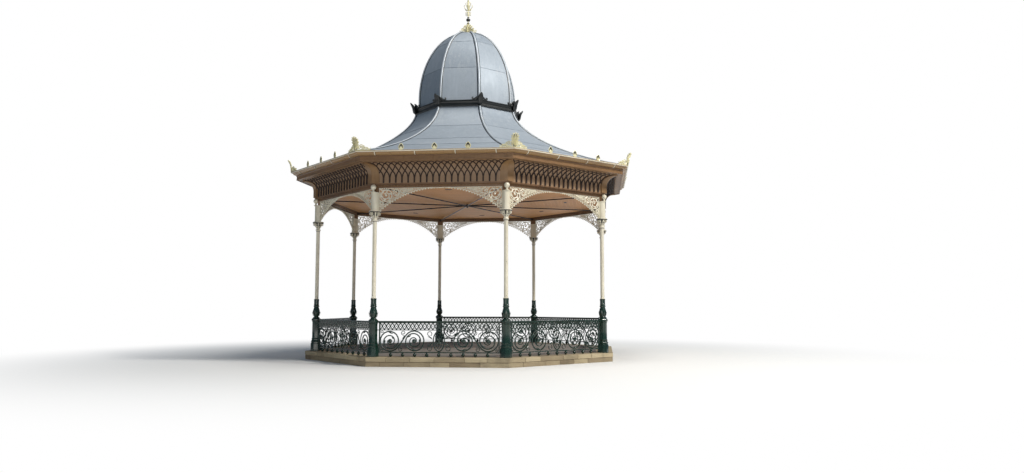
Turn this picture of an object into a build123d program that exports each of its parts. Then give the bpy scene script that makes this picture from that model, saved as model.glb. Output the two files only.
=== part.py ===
from build123d import *
from math import acos, asin, cos, degrees, hypot, pi, radians, sin, tan
import os

# All sizes are millimetres. Heights are above the floor unless they say otherwise.

# Plan: a regular octagon of eight columns round the centre, the front side facing -Y
sides = 8
column_ring = 4950.0  # from the centre to each column's axis
joint_gap = 0.4  # hairline between lengths that meet at a mitre
seat_gap = 0.3  # between a piece and the curved or angled face that it seats against
turned_sides = 8  # flats that stand for the round of a turned iron piece

# Stone plinth and floor
plinth_height = 260.0
kerb_overhang = 305.0  # of the kerb's outer face beyond the line of columns
kerb_inset = 215.0  # of the kerb's inner face within the line of columns

# Octagonal iron pedestals from the floor up, widths measured across the flats
drum_width = 312.0
drum_height = 245.0
waist_height = 150.0
die_width = 232.0
die_height = 550.0
cap_width = 284.0
cap_flare = 17.0
cap_height = 83.0
vase_foot_diameter = 172.0
vase_foot_height = 60.0
vase_diameter = 226.0
vase_swell = 127.0  # rise from the vase's foot to its widest part
vase_fall = 168.0  # rise from there to the ring
ring_diameter = 182.0
ring_height = 34.0
sleeve_diameter = 158.0
sleeve_height = 206.0

# Iron columns above the pedestals
shaft_diameter = 117.0
shaft_length = 2220.0
astragal_diameter = 160.0
astragal_thickness = 30.0
necking_height = 45.0
capital_diameter = 296.0
capital_height = 170.0
abacus_diameter = 346.0
abacus_thickness = 35.0
head_width = 205.0
head_nose = 50.0  # from the axis to the centre of the head's round nose
head_back = 80.0  # from the axis to the head's flat back
head_height = 550.0
nose_steps = 4
post_height = 145.0
knob_diameter = 160.0
knob_neck_diameter = 76.0
knob_neck_lap = 12.0
knob_drop = 28.0  # of the knob's middle below the wall plate's underside
knob_clearance = 6.0  # between the knob and the wall plate

# Timber wall plate that the columns carry
beam_outer = 26.0  # beam faces from the line of columns
beam_inner = 100.0
beam_height = 55.0
cornice_height = 35.0
cove_line = 116.0  # of the cove's upright face beyond the line of columns

# Spandrel arches
arch_radius = 2667.0
arch_drop = 32.0  # of the arch's crown below the wall plate's underside
arch_band = 62.0
arch_steps = 10
spandrel_thickness = 50.0
spandrel_rail = 34.0
spandrel_stile = 46.0
lace_bar = 22.0
lace_ring = 150.0  # outer radius of the ring in each spandrel
lace_ring_sides = 6
lace_gap = 40.0  # between the ring and the rail and stile beside it
lace_reach = 900.0  # of the sloping bars from the ring along the spandrel

# Coved eaves
cove_boards = 25.0
cove_straight = 205.0
cove_radius = 355.0
cove_strips = 4
hip_half_width = 230.0
hip_proud = 45.0
rib_count = 10
rib_width = 40.0
rib_proud = 40.0
rib_rail = 26.0
rib_end_gap = 8.0  # between the rail of the ribs and the hip boards
rib_end_inset = 65.0  # of the outermost ribs' middle lines from the rail's ends
eaves_depth = 185.0
eaves_height = 140.0
upstand_width = 70.0

# Gutter and its cresting
gutter_projection = 176.0
gutter_height = 115.0
gutter_wall = 15.0
gutter_foot = 60.0
crest_spacing = 940.0
crest_height = 185.0
crest_width = 150.0
crest_thickness = 12.0
acroterion_reach = 432.0
acroterion_rise = 385.0
acroterion_lean = 110.0

# Concave roof skirt: its corners at the head, its foot, and the pull of its curve at both ends
skirt_overhang = 37.0  # of the foot beyond the eaves timbers
skirt_lift = 20.0  # of the foot above the gutter's rim
skirt_rise = 2140.0
skirt_head_radius = 1790.0
skirt_foot_pull_in = 2100.0
skirt_foot_pull_up = 470.0
skirt_head_pull_out = 170.0
skirt_head_pull_down = 750.0
skirt_courses = 6
skirt_thickness = 60.0
roll_width = 64.0
roll_height = 34.0

# Neck band with its corner leaves
neck_height = 210.0
neck_overhang = 10.0  # of the band's corners beyond the skirt's head
neck_recess = 22.0
neck_bead = 34.0
neck_slope = 20.0
leaf_reach = 240.0
leaf_rise = 180.0
leaf_drop = 185.0  # of the leaf's belly below the band's top, outside the band
leaf_root = 75.0
leaf_thickness = 46.0

# Dome
dome_inset = 110.0  # of the dome's corners within the skirt's head
dome_upright = 290.0  # from the neck band to where the curve springs
dome_rise = 2513.0
dome_courses = 7
dome_thickness = 40.0
dome_crown = 130.0  # flats of the dome's small level top, from the axis
curb_lap = 18.0  # of the skirt's level curb within the dome

# Ceiling and tie rods
ceiling_thickness = 25.0
rod_rise = 13.0  # of the rods above the wall plate's underside
rod_diameter = 28.0
rod_sides = 6
hub_diameter = 110.0
hub_height = 64.0

# Finial, its heights above the dome's top
finial_rise = 1287.0
finial_stem = 44.0
finial_tip = 26.0
finial_base_half = 262.0
finial_base_height = 318.0
finial_plate = 14.0
finial_collar_height = 338.0
finial_collar_diameter = 118.0
finial_collar_depth = 26.0
finial_knob_height = 500.0
finial_knob_diameter = 122.0
finial_knob_depth = 92.0
finial_cross_height = 722.0
finial_cross_width = 184.0
finial_cross_depth = 30.0
finial_flower_foot = 830.0
finial_flower_half = 155.0
finial_point = 40.0  # of the stem above the flower

# Railings
rail_top_rise = 42.0  # of the top rail's head above the pedestal cap's foot
rail_top_height = 44.0
rail_top_depth = 64.0
rail_bar = 22.0
rail_lap = 7.0  # of the frieze's upper rail into the top rail
railing_thickness = 30.0
frieze_height = 183.0
rail_foot = 112.0
rail_foot_height = 30.0
foot_width = 46.0
scroll_bar = 26.0
scroll_spacing = 690.0
scroll_eye = 90.0
scroll_hold = 0.75  # turns at full radius, then the turns that curl in
scroll_curl = 0.75
scroll_steps = 6
strap_lap = 6.0  # of a scroll's outer edge into the rails
loop_steps = 5
loop_half_width = 160.0

# Outlines as shares of their piece's reach and rise
gutter_outside_shares = [(0.5, 0.22), (0.72, 0.7)]
gutter_inside_shares = [(0.62, 0.8), (0.44, 0.33)]
crest_shares = [(-0.3, 0.0), (0.3, 0.0), (0.5, 0.55), (0.0, 1.0), (-0.5, 0.55)]
wing_shares = [(1.0, 0.0), (-0.1, 0.0), (-0.1, 0.62), (0.3, 0.5), (0.85, 0.22)]
palmette_shares = [(-0.27, 0.2), (0.1, 0.1), (0.8, 0.6), (1.0, 1.0), (-0.1, 0.7)]
palmette_half_share = 0.7
leaf_belly_shares = [(0.42, -1.0), (0.78, -0.5)]
leaf_tip_shares = [(1.0, 1.0), (0.7, 0.33), (0.38, 0.2), (0.0, 0.62)]
leaf_root_share = 0.5
bracket_shares = [(1.0, 0.0), (0.78, 0.24), (0.34, 0.5), (0.16, 1.0)]
flower_shares = [(0.9, 0.3), (1.0, 0.62), (0.3, 0.72)]
bead_shares = [(0.6, -0.5), (1.0, -0.2), (1.0, 0.2), (0.6, 0.5)]

bay_names = ["front", "front_right", "right", "back_right", "back", "back_left", "left", "front_left"]
column_names = [
    "front_right",
    "right_front",
    "right_back",
    "back_right",
    "back_left",
    "left_back",
    "left_front",
    "front_left",
]
open_bay = "back_left"

# Derived sizes in plan
bay_angle = 360.0 / sides
half_angle = radians(bay_angle / 2)
column_line = column_ring * cos(half_angle)
bay_half = column_ring * sin(half_angle)
kerb_outer = column_line + kerb_overhang
kerb_inner = column_line - kerb_inset
knob_offset = beam_outer + knob_diameter / 2 + knob_clearance
cove_face = column_line + cove_line
eaves_line = cove_face + cove_radius
eaves_outer = eaves_line + seat_gap + eaves_depth
crest_line = eaves_outer + gutter_projection - gutter_wall / 2
skirt_foot_radius = (eaves_outer + skirt_overhang) / cos(half_angle)
neck_radius = skirt_head_radius + neck_overhang
dome_flat = (skirt_head_radius - dome_inset) * cos(half_angle)
curb_line = dome_flat - dome_thickness - curb_lap

# Derived heights
die_foot = drum_height + waist_height
die_head = die_foot + die_height
cap_foot = die_head + cap_flare
cap_head = cap_foot + cap_height
vase_foot = cap_head + vase_foot_height
vase_middle = vase_foot + vase_swell
vase_head = vase_middle + vase_fall
ring_head = vase_head + ring_height
sleeve_head = ring_head + sleeve_height
astragal_foot = sleeve_head + shaft_length
astragal_head = astragal_foot + astragal_thickness
capital_foot = astragal_head + necking_height
abacus_foot = capital_foot + capital_height
arch_foot = abacus_foot + abacus_thickness
head_top = arch_foot + head_height
plate_underside = head_top + post_height
knob_middle = plate_underside - knob_drop
arch_crown = plate_underside - arch_drop
cornice_foot = plate_underside + beam_height
cove_foot = cornice_foot + cornice_height
soffit_height = cove_foot + cove_straight + cove_radius
gutter_seat = soffit_height + eaves_height
gutter_rim = gutter_seat + gutter_height
skirt_foot_height = gutter_rim + skirt_lift
skirt_head_height = skirt_foot_height + skirt_rise
neck_top = skirt_head_height + neck_height
dome_spring = neck_top + dome_upright
dome_top = dome_spring + dome_rise
finial_top = dome_top + finial_rise
rail_top = cap_foot + rail_top_rise
frieze_head = rail_top - rail_top_height - rail_bar + rail_lap
frieze_foot = frieze_head - frieze_height


def flat_of(radius):
    """Distance from the centre to a side of the octagon whose corners lie at this radius."""
    return radius * cos(half_angle)


def polygon(points):
    """A closed flat sketch through these points."""
    return make_face(Polyline(*points, close=True))


def side_wedge(clearance, half=half_angle):
    """The front side's share of the plan, held back from both corner planes by a clearance."""
    reach = 2 * column_ring
    apex = -clearance / sin(half)
    span = reach * tan(half)
    wedge = polygon([(0, apex), (span, apex - reach), (-span, apex - reach)])
    return extrude(wedge, amount=finial_top + plinth_height)


def side_solid(points, clearance=joint_gap / 2, half=half_angle):
    """A length along the front side with mitred ends, from (distance from the centre, height) points."""
    profile = polygon([(-distance, height) for distance, height in points])
    half_length = 1.1 * max(distance for distance, _ in points) * tan(half)
    length = extrude(Plane.YZ * profile, amount=half_length, both=True)
    return length & side_wedge(clearance, half)


def round_the_octagon(piece, turn=0.0):
    """Eight copies of a piece, one for each side, or each corner with a turn of half a bay."""
    return [Rot(0, 0, turn + bay_angle * i) * piece for i in range(sides)]


def facet_prism(points, count=sides):
    """An upright piece with flat sides about its own axis, from (distance of the flats, height) points."""
    outline = [(0, points[0][1]), *points, (0, points[-1][1])]
    side = side_solid(outline, clearance=0.0, half=pi / count)
    copies = [Rot(0, 0, 360.0 / count * i) * side for i in range(1, count)]
    return side.fuse(*copies).clean()


def turned(points):
    """A turned iron piece about its own axis, from (radius, height) points."""
    return facet_prism(points, turned_sides)


def strap(path, width):
    """A flat bar of one width along a path of points in the plane of a panel."""
    left = []
    right = []
    last = len(path) - 1
    for i, (x, z) in enumerate(path):
        x0, z0 = path[max(i - 1, 0)]
        x1, z1 = path[min(i + 1, last)]
        size = hypot(x1 - x0, z1 - z0)
        across = ((z0 - z1) / size * width / 2, (x1 - x0) / size * width / 2)
        left.append((x + across[0], z + across[1]))
        right.append((x - across[0], z - across[1]))
    return polygon(left + right[::-1])


def spiral(centre, start, sense, radius):
    """Points of a scroll from its outer end, at an angle: it holds its radius, then curls in."""
    turns = scroll_hold + scroll_curl
    count = round(scroll_steps * turns)
    path = []
    for i in range(count + 1):
        turned_by = turns * i / count
        curl = max(turned_by - scroll_hold, 0) / scroll_curl
        reach = radius + (scroll_eye - radius) * curl
        angle = radians(start + sense * 360 * turned_by)
        path.append((centre[0] + reach * cos(angle), centre[1] + reach * sin(angle)))
    return path


def bay_plane(distance):
    """The upright plane of the front bay at a distance from the centre: x along the bay, y up."""
    return Plane(origin=(0, -distance, 0), x_dir=(1, 0, 0), z_dir=(0, -1, 0))


def panel(sketch, distance, thickness):
    """A flat panel of the front bay, its middle plane at a distance from the centre."""
    return extrude(bay_plane(distance) * sketch, amount=thickness / 2, both=True)


def box_between(x, y, z):
    """A box from pairs of limits along the three axes."""
    size = [x[1] - x[0], y[1] - y[0], z[1] - z[0]]
    middle = [(x[0] + x[1]) / 2, (y[0] + y[1]) / 2, (z[0] + z[1]) / 2]
    return Pos(*middle) * Box(*size)


def height_at(points, distance):
    """Height of a falling line of (distance, height) points at a distance."""
    for (a0, z0), (a1, z1) in zip(points, points[1:]):
        if min(a0, a1) <= distance <= max(a0, a1):
            return z0 + (z1 - z0) * (distance - a0) / (a1 - a0)
    raise ValueError("distance lies off the line")


# Plinth and floor
def plinth_kerb():
    """Stone kerb round the floor, in eight mitred lengths."""
    section = [(kerb_inner, 0), (kerb_outer, 0), (kerb_outer, plinth_height), (kerb_inner, plinth_height)]
    return round_the_octagon(side_solid(section))


def floor_slab():
    """Paved floor inside the kerb, solid down to the ground."""
    radius = (kerb_inner - seat_gap) / cos(half_angle)
    return extrude(RegularPolygon(radius, sides, rotation=bay_angle / 2), amount=plinth_height)


# Pedestals and columns, modelled on their own axis with the outside towards -Y
def pedestal():
    """Octagonal pedestal with its drum, moulded foot and cap, and the turned vase and sleeve above."""
    base = facet_prism(
        [
            (drum_width / 2, 0),
            (drum_width / 2, drum_height),
            (die_width / 2, die_foot),
            (die_width / 2, die_head),
            (cap_width / 2, cap_foot),
            (cap_width / 2, cap_head),
        ]
    )
    vase = turned(
        [
            (vase_foot_diameter / 2, cap_head),
            (vase_foot_diameter / 2, vase_foot),
            (vase_diameter / 2, vase_middle),
            (ring_diameter / 2, vase_head),
            (ring_diameter / 2, ring_head),
            (sleeve_diameter / 2, ring_head),
            (sleeve_diameter / 2, sleeve_head),
        ]
    )
    return base + vase


def column():
    """Round shaft with its astragal, flared capital and abacus, the head between the arches and the knob."""
    shaft = turned(
        [
            (shaft_diameter / 2, sleeve_head),
            (shaft_diameter / 2, astragal_foot),
            (astragal_diameter / 2, (astragal_foot + astragal_head) / 2),
            (shaft_diameter / 2, astragal_head),
            (shaft_diameter / 2, capital_foot),
            (capital_diameter / 2, abacus_foot),
            (abacus_diameter / 2, abacus_foot),
            (abacus_diameter / 2, arch_foot),
        ]
    )
    half = head_width / 2
    nose = []
    for i in range(nose_steps + 1):
        turn = pi * i / nose_steps
        nose.append((half * cos(turn), -head_nose - half * sin(turn)))
    plan = polygon([(half, head_back), *nose, (-half, head_back)])
    head = extrude(Pos(0, 0, arch_foot) * plan, amount=head_height)
    post_front = knob_offset - knob_diameter / 2 - seat_gap
    post = box_between((-half, half), (-post_front, head_back), (head_top, plate_underside))
    knob = Pos(0, -knob_offset) * facet_prism(
        [
            (knob_neck_diameter / 2, head_top),
            (knob_neck_diameter / 2, knob_middle - knob_diameter / 2 + knob_neck_lap),
            (knob_diameter / 2, knob_middle - knob_diameter / 5),
            (knob_diameter / 2, knob_middle + knob_diameter / 5),
            (knob_diameter / 4, knob_middle + knob_diameter / 2),
        ]
    )
    return shaft + head + post + knob


# Railings
def scroll_half(outer_x, inner_x, radius):
    """Straps of a railing's right half: a scroll that curls both ways and the side of the middle loop."""
    low = rail_foot + rail_foot_height
    middle = (low + frieze_foot - rail_bar) / 2
    crossing = degrees(acos(2 * radius / scroll_spacing))
    outer = spiral((outer_x, middle), 180 + crossing, 1, radius)
    inner = spiral((inner_x, middle), crossing, 1, radius)
    loop_height = middle - low + strap_lap - scroll_bar / 2
    side = []
    for i in range(loop_steps + 1):
        turn = pi * i / loop_steps
        side.append((loop_half_width * sin(turn), middle - loop_height * cos(turn)))
    return [strap(outer[::-1] + inner, scroll_bar), strap(side, scroll_bar)]


def railing():
    """Iron railing of one bay: rails on block feet, a frieze, and scrollwork between."""
    reach = bay_half - drum_width / 2 / cos(half_angle) - seat_gap
    rail_reach = bay_half - die_width / 2 / cos(half_angle) - seat_gap
    top_reach = bay_half - cap_width / 2 / cos(half_angle) - seat_gap
    sketch = Pos(0, rail_foot) * Rectangle(2 * reach, rail_foot_height, align=(Align.CENTER, Align.MIN))
    for z, half in [(frieze_foot - rail_bar, rail_reach), (frieze_head, top_reach)]:
        sketch += Pos(0, z) * Rectangle(2 * half, rail_bar, align=(Align.CENTER, Align.MIN))
    for side in (-1, 1):
        stile = Rectangle(scroll_bar, rail_top - rail_foot, align=(Align.CENTER, Align.MIN))
        sketch += Pos(side * (reach - scroll_bar / 2), rail_foot) * stile
    radius = (frieze_foot - rail_bar - rail_foot - rail_foot_height) / 2 + strap_lap - scroll_bar / 2
    outer_x = reach - scroll_bar - radius
    inner_x = outer_x - scroll_spacing
    for x in (-outer_x, -inner_x, 0, inner_x, outer_x):
        sketch += Pos(x, 0) * Rectangle(foot_width, rail_foot, align=(Align.CENTER, Align.MIN))
    for bar in scroll_half(outer_x, inner_x, radius):
        sketch = sketch + bar + mirror(bar, about=Plane.YZ)
    top = box_between(
        (-top_reach, top_reach),
        (-column_line - rail_top_depth / 2, -column_line + rail_top_depth / 2),
        (rail_top - rail_top_height, rail_top),
    )
    return panel(sketch, column_line, railing_thickness) + top


# Spandrel arches
def arch_points(radius, half_span):
    """Points of a round arch of this radius about the arches' centre, across a span, from left to right."""
    centre = arch_crown - arch_radius
    reach = asin(half_span / radius)
    angles = [reach * (2 * i / arch_steps - 1) for i in range(arch_steps + 1)]
    return [(radius * sin(a), centre + radius * cos(a)) for a in angles]


def lace(top, stile):
    """Openwork of a spandrel's right half: a ring in the corner on three bars, one along the arch."""
    ring_x = stile - lace_gap - lace_ring
    ring_z = top - lace_gap - lace_ring
    ring = RegularPolygon(lace_ring, lace_ring_sides) - RegularPolygon(lace_ring - lace_bar, lace_ring_sides)
    sketch = Pos(ring_x, ring_z) * ring
    reach = lace_ring + lace_gap + lace_bar
    for path in [
        [(ring_x - lace_reach, top), (ring_x - lace_ring + lace_bar / 2, ring_z)],
        [(ring_x + lace_ring - lace_bar, ring_z), (ring_x + reach, ring_z)],
        [(ring_x, ring_z - lace_ring + lace_bar), (ring_x + reach, ring_z - 2 * reach)],
    ]:
        sketch += strap(path, lace_bar)
    return sketch


def spandrel():
    """Arched openwork panel between two column heads, under the wall plate."""
    foot = arch_foot + seat_gap
    centre = arch_crown - arch_radius
    spring = (arch_radius**2 - (foot - centre) ** 2) ** 0.5
    arch = arch_points(arch_radius, spring)
    head = [(bay_half, plate_underside), (-bay_half, plate_underside)]
    outline = polygon([(-bay_half, foot), *arch, (bay_half, foot), *head])
    top = plate_underside - spandrel_rail
    stile = bay_half - (head_width / 2 + spandrel_stile) / cos(half_angle)
    band_radius = arch_radius + arch_band
    tip = (band_radius**2 - (top - centre) ** 2) ** 0.5
    band = [p for p in arch_points(band_radius, stile) if p[0] > tip]
    window = polygon([(stile, top), (tip, top), *band])
    frame = outline - window - mirror(window, about=Plane.YZ)
    room = [(stile + lace_bar, top + lace_bar), (tip, top + lace_bar), (tip, top), *band]
    filling = lace(top, stile) & polygon(room)
    frame = frame + filling + mirror(filling, about=Plane.YZ)
    return panel(frame, column_line, spandrel_thickness) & side_wedge(head_width / 2 + seat_gap)


# Wall plate, ceiling and rods
def wall_plate():
    """Timber beam over the arches with the projecting cornice that carries the cove, in eight lengths."""
    section = [
        (column_line - beam_inner, plate_underside),
        (column_line + beam_outer, plate_underside),
        (column_line + beam_outer, cornice_foot),
        (column_line + cove_line, cornice_foot),
        (column_line + cove_line, cove_foot),
        (column_line - beam_inner, cove_foot),
    ]
    return round_the_octagon(side_solid(section))


def ceiling():
    """Level boarded ceiling that rests on the wall plate inside the cove."""
    radius = (column_line + cove_line - cove_boards - seat_gap) / cos(half_angle)
    slab = extrude(RegularPolygon(radius, sides, rotation=bay_angle / 2), amount=ceiling_thickness)
    return Pos(0, 0, cove_foot) * slab


def tie_rods():
    """Eight rods from a hub on the centre line to the corners of the wall plate, below the ceiling."""
    plan = RegularPolygon(hub_diameter / 2, sides, major_radius=False)
    hub = extrude(plan, amount=hub_height / 2, both=True)
    start = hub_diameter / 2 + seat_gap
    end = (column_line - beam_inner) / cos(half_angle) - rod_diameter / 2 * tan(half_angle) - seat_gap
    section = bay_plane(start) * RegularPolygon(rod_diameter / 2, rod_sides)
    rod = extrude(section, amount=end - start)
    solids = [hub, *round_the_octagon(rod, bay_angle / 2)]
    return [Pos(0, 0, plate_underside + rod_rise) * solid for solid in solids]


# Coved eaves
def cove_points(offset):
    """Rising line of the cove, moved outwards by an offset: a straight foot, then a quarter round."""
    spring = cove_foot + cove_straight
    radius = cove_radius - offset
    line = [(cove_face + offset, cove_foot)]
    for i in range(cove_strips + 1):
        turn = pi / 2 * i / cove_strips
        line.append((eaves_line - radius * cos(turn), spring + radius * sin(turn)))
    return line


def cove_band(inner, outer):
    """Closed section between two offsets of the cove."""
    return cove_points(outer) + cove_points(inner)[::-1]


def eaves_cove():
    """Boarded cove in eight mitred lengths."""
    return round_the_octagon(side_solid(cove_band(-cove_boards, 0)))


def hip_boards():
    """Coved board folded round each corner, over the ends of the ribs."""
    band = side_solid(cove_band(seat_gap, hip_proud), clearance=0.0)
    ends = band - side_wedge(hip_half_width)
    near_corner = box_between((-bay_half, bay_half), (-2 * column_ring, 0), (0, finial_top))
    left_half = Rot(0, 0, bay_angle / 2) * ends & near_corner
    right_half = Rot(0, 0, -bay_angle / 2) * ends & near_corner
    corner = left_half + right_half
    return round_the_octagon(corner, bay_angle / 2)


def frieze():
    """Upright ribs of one side's lattice on their rail, standing on the cornice against the cove."""
    reach = cove_face * tan(half_angle) - (hip_half_width + rib_end_gap) / cos(half_angle)
    sketch = Pos(0, cove_foot) * Rectangle(2 * reach, rib_rail, align=(Align.CENTER, Align.MIN))
    outermost = reach - rib_end_inset
    for i in range(rib_count):
        x = outermost * (2 * i / (rib_count - 1) - 1)
        sketch += Pos(x, cove_foot) * Rectangle(rib_width, cove_straight, align=(Align.CENTER, Align.MIN))
    thickness = rib_proud - seat_gap
    return panel(sketch, cove_face + seat_gap + thickness / 2, thickness)


def skirt_line():
    """Falling line of the skirt along the middle of a side, from head to foot, in courses."""
    points = [
        (skirt_head_radius, skirt_head_height),
        (skirt_head_radius + skirt_head_pull_out, skirt_head_height - skirt_head_pull_down),
        (skirt_foot_radius - skirt_foot_pull_in, skirt_foot_height + skirt_foot_pull_up),
        (skirt_foot_radius, skirt_foot_height),
    ]
    line = []
    for i in range(skirt_courses + 1):
        t = i / skirt_courses
        weights = [(1 - t) ** 3, 3 * t * (1 - t) ** 2, 3 * t**2 * (1 - t), t**3]
        radius = sum(w * p[0] for w, p in zip(weights, points))
        height = sum(w * p[1] for w, p in zip(weights, points))
        line.append((flat_of(radius), height))
    return line


def offset_line(line, distance):
    """A line of points moved square to itself, to its right as it runs."""
    moved = []
    last = len(line) - 1
    for i, (a, z) in enumerate(line):
        a0, z0 = line[max(i - 1, 0)]
        a1, z1 = line[min(i + 1, last)]
        size = hypot(a1 - a0, z1 - z0)
        moved.append((a + (z1 - z0) / size * distance, z - (a1 - a0) / size * distance))
    return moved


def skirt_underside():
    """Falling underside of a skirt panel, from below the curb to the foot."""
    line = skirt_line()
    under = offset_line(line, skirt_thickness)
    curb_foot = skirt_head_height - skirt_thickness
    return [p for p in under[1:-1] if p[1] < curb_foot] + [(line[-1][0], under[-1][1])]


def skirt_section():
    """Closed section of a skirt panel with the level curb at its head."""
    line = skirt_line()
    curb_foot = skirt_head_height - skirt_thickness
    shoulder = line[0][0] - skirt_thickness
    head = [(shoulder, curb_foot), (curb_line, curb_foot), (curb_line, skirt_head_height)]
    return line + skirt_underside()[::-1] + head


def roof_skirt():
    """Eight concave roof panels between the gutter and the neck."""
    return round_the_octagon(side_solid(skirt_section()))


def eaves_plate():
    """Eaves timbers in eight lengths: level soffit outside the cove and an upstand under the skirt."""
    under = skirt_underside()
    inner = eaves_line + seat_gap
    outer = inner + upstand_width
    section = [
        (inner, soffit_height),
        (eaves_outer, soffit_height),
        (eaves_outer, gutter_seat),
        (outer, gutter_seat),
        (outer, height_at(under, outer) - seat_gap),
        (inner, height_at(under, inner) - seat_gap),
    ]
    return round_the_octagon(side_solid(section))


def shape_points(shares, origin, reach, rise):
    """Points of an outline given as shares of a reach and a rise from its origin."""
    return [(origin[0] + u * reach, origin[1] + v * rise) for u, v in shares]


def gutter():
    """Moulded gutter in eight mitred lengths on the eaves timbers."""
    lip = eaves_outer + gutter_projection
    seat = (eaves_outer, gutter_seat)
    section = [
        (eaves_outer - gutter_foot, gutter_seat),
        seat,
        *shape_points(gutter_outside_shares, seat, gutter_projection, gutter_height),
        (lip, gutter_rim - gutter_wall),
        (lip, gutter_rim),
        (lip - gutter_wall, gutter_rim),
        *shape_points(gutter_inside_shares, seat, gutter_projection, gutter_height),
        (eaves_outer - gutter_foot, gutter_seat + gutter_wall),
    ]
    return round_the_octagon(side_solid(section))


def gutter_crests():
    """Three small palmettes on the gutter's rim along each side."""
    solids = []
    for x in (-crest_spacing, 0, crest_spacing):
        sketch = polygon(shape_points(crest_shares, (x, gutter_rim), crest_width, crest_height))
        solids += round_the_octagon(panel(sketch, crest_line, crest_thickness))
    return solids


def corner_acroteria():
    """Corner ornament on the gutter: two scroll wings along the sides and a leaning palmette."""
    corner = crest_line * tan(half_angle)
    wing = polygon(shape_points(wing_shares, (corner, gutter_rim), -acroterion_reach, acroterion_rise))
    right = panel(wing, crest_line, crest_thickness) & side_wedge(0)
    left = mirror(right, about=Plane.YZ)
    radius = crest_line / cos(half_angle)
    leaf = polygon(shape_points(palmette_shares, (-radius, gutter_rim), -acroterion_lean, acroterion_rise))
    palmette = extrude(Plane.YZ * leaf, amount=acroterion_lean * palmette_half_share, both=True)
    corner_piece = Rot(0, 0, -bay_angle / 2) * right + Rot(0, 0, bay_angle / 2) * left + palmette
    return round_the_octagon(corner_piece, bay_angle / 2)


def hip_roll(line, section, width, height):
    """Capping along a corner of a roof whose sides follow a falling line, seated on the panels beside it."""
    outer = [(-a / cos(half_angle), z) for a, z in offset_line(line, -height)]
    inner = [(-a / cos(half_angle), z) for a, z in offset_line(line, height)]
    outer = [(a, min(z, line[0][1])) for a, z in outer]
    inner = [(a, min(z, line[0][1])) for a, z in inner]
    cap = extrude(Plane.YZ * polygon(outer + inner[::-1]), amount=width / 2, both=True)
    panel_beside = side_solid(section, clearance=0.0)
    for turn in (bay_angle / 2, -bay_angle / 2):
        cap = cap - Rot(0, 0, turn) * panel_beside
    return max(cap.solids(), key=lambda solid: solid.volume)


def skirt_rolls():
    """Cappings over the eight corners of the skirt."""
    return round_the_octagon(hip_roll(skirt_line(), skirt_section(), roll_width, roll_height), bay_angle / 2)


# Neck and dome
def neck_band():
    """Moulded band round the foot of the dome, standing on the skirt's curb."""
    face = flat_of(neck_radius)
    inner = dome_flat + seat_gap
    foot = skirt_head_height
    section = [
        (inner, foot),
        (face, foot),
        (face, foot + neck_bead),
        (face - neck_recess, foot + neck_bead + neck_slope),
        (face - neck_recess, neck_top - neck_bead - neck_slope),
        (face, neck_top - neck_bead),
        (face, neck_top),
        (inner, neck_top),
    ]
    return round_the_octagon(side_solid(section))


def neck_leaves():
    """Curled leaf at each corner of the band: its root on the band's top and its belly before the corner."""
    corner = (-neck_radius, neck_top)
    root = -neck_radius + leaf_root
    face = -neck_radius - seat_gap
    belly = shape_points(leaf_belly_shares, corner, -leaf_reach, leaf_drop)
    tip = shape_points(leaf_tip_shares, corner, -leaf_reach, leaf_rise)
    foot = [(root, neck_top), (face, neck_top), (face, neck_top - leaf_drop)]
    leaf = polygon([*foot, *belly, *tip, (root, neck_top + leaf_rise * leaf_root_share)])
    solid = extrude(Plane.YZ * leaf, amount=leaf_thickness / 2, both=True)
    return round_the_octagon(solid, bay_angle / 2)


def dome_line():
    """Rising line of the dome along the middle of a side, from its foot to its small level top."""
    line = [(dome_flat, skirt_head_height), (dome_flat, dome_spring)]
    for i in range(1, dome_courses + 1):
        t = pi / 2 * i / dome_courses
        distance = max(dome_flat * cos(t), dome_crown)
        line.append((distance, dome_spring + dome_rise * sin(t)))
    return line


def dome_section():
    """Closed section of a dome panel, from its outer line to its thickness inside."""
    line = dome_line()
    inner = offset_line(line, -dome_thickness)
    crown = line[-1][1]
    foot = (dome_flat - dome_thickness, skirt_head_height)
    return line + [(0, crown), (0, crown - dome_thickness)] + inner[-2:0:-1] + [foot]


def dome():
    """Eight curved panels of the dome, closed by its small level top."""
    return round_the_octagon(side_solid(dome_section()))


def dome_rolls():
    """Cappings over the eight corners of the dome, above the neck band."""
    falling = dome_line()[:0:-1] + [(dome_flat, neck_top)]
    return round_the_octagon(hip_roll(falling, dome_section(), roll_width, roll_height), bay_angle / 2)


# Finial
def both_sides(shares, half, foot, rise):
    """Closed outline on the plane of the finial, from the right half's shares of a width and a rise."""
    right = shape_points(shares, (0, foot), half, rise)
    return right + [(-x, z) for x, z in right[::-1] if x > 0]


def finial():
    """Wrought finial: bracketed foot, collar, knob, small cross and a flower of leaves on one stem."""
    whole = facet_prism([(finial_stem / 2, dome_top), (finial_tip / 2, finial_top)])
    flower_foot = dome_top + finial_flower_foot
    flower_rise = finial_top - finial_point - flower_foot
    flower = [(0.0, 0.0), *flower_shares, (0.0, 1.0)]
    for outline in [
        both_sides(bracket_shares, finial_base_half, dome_top, finial_base_height),
        both_sides(flower, finial_flower_half, flower_foot, flower_rise),
    ]:
        plate = extrude(Plane.XZ * polygon(outline), amount=finial_plate / 2, both=True)
        whole = whole + plate + Rot(0, 0, 90) * plate
    for height, width, depth in [
        (finial_collar_height, finial_collar_diameter, finial_collar_depth),
        (finial_knob_height, finial_knob_diameter, finial_knob_depth),
        (finial_cross_height, finial_cross_width, finial_cross_depth),
    ]:
        whole = whole + facet_prism(shape_points(bead_shares, (0, dome_top + height), width / 2, depth))
    return whole


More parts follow.
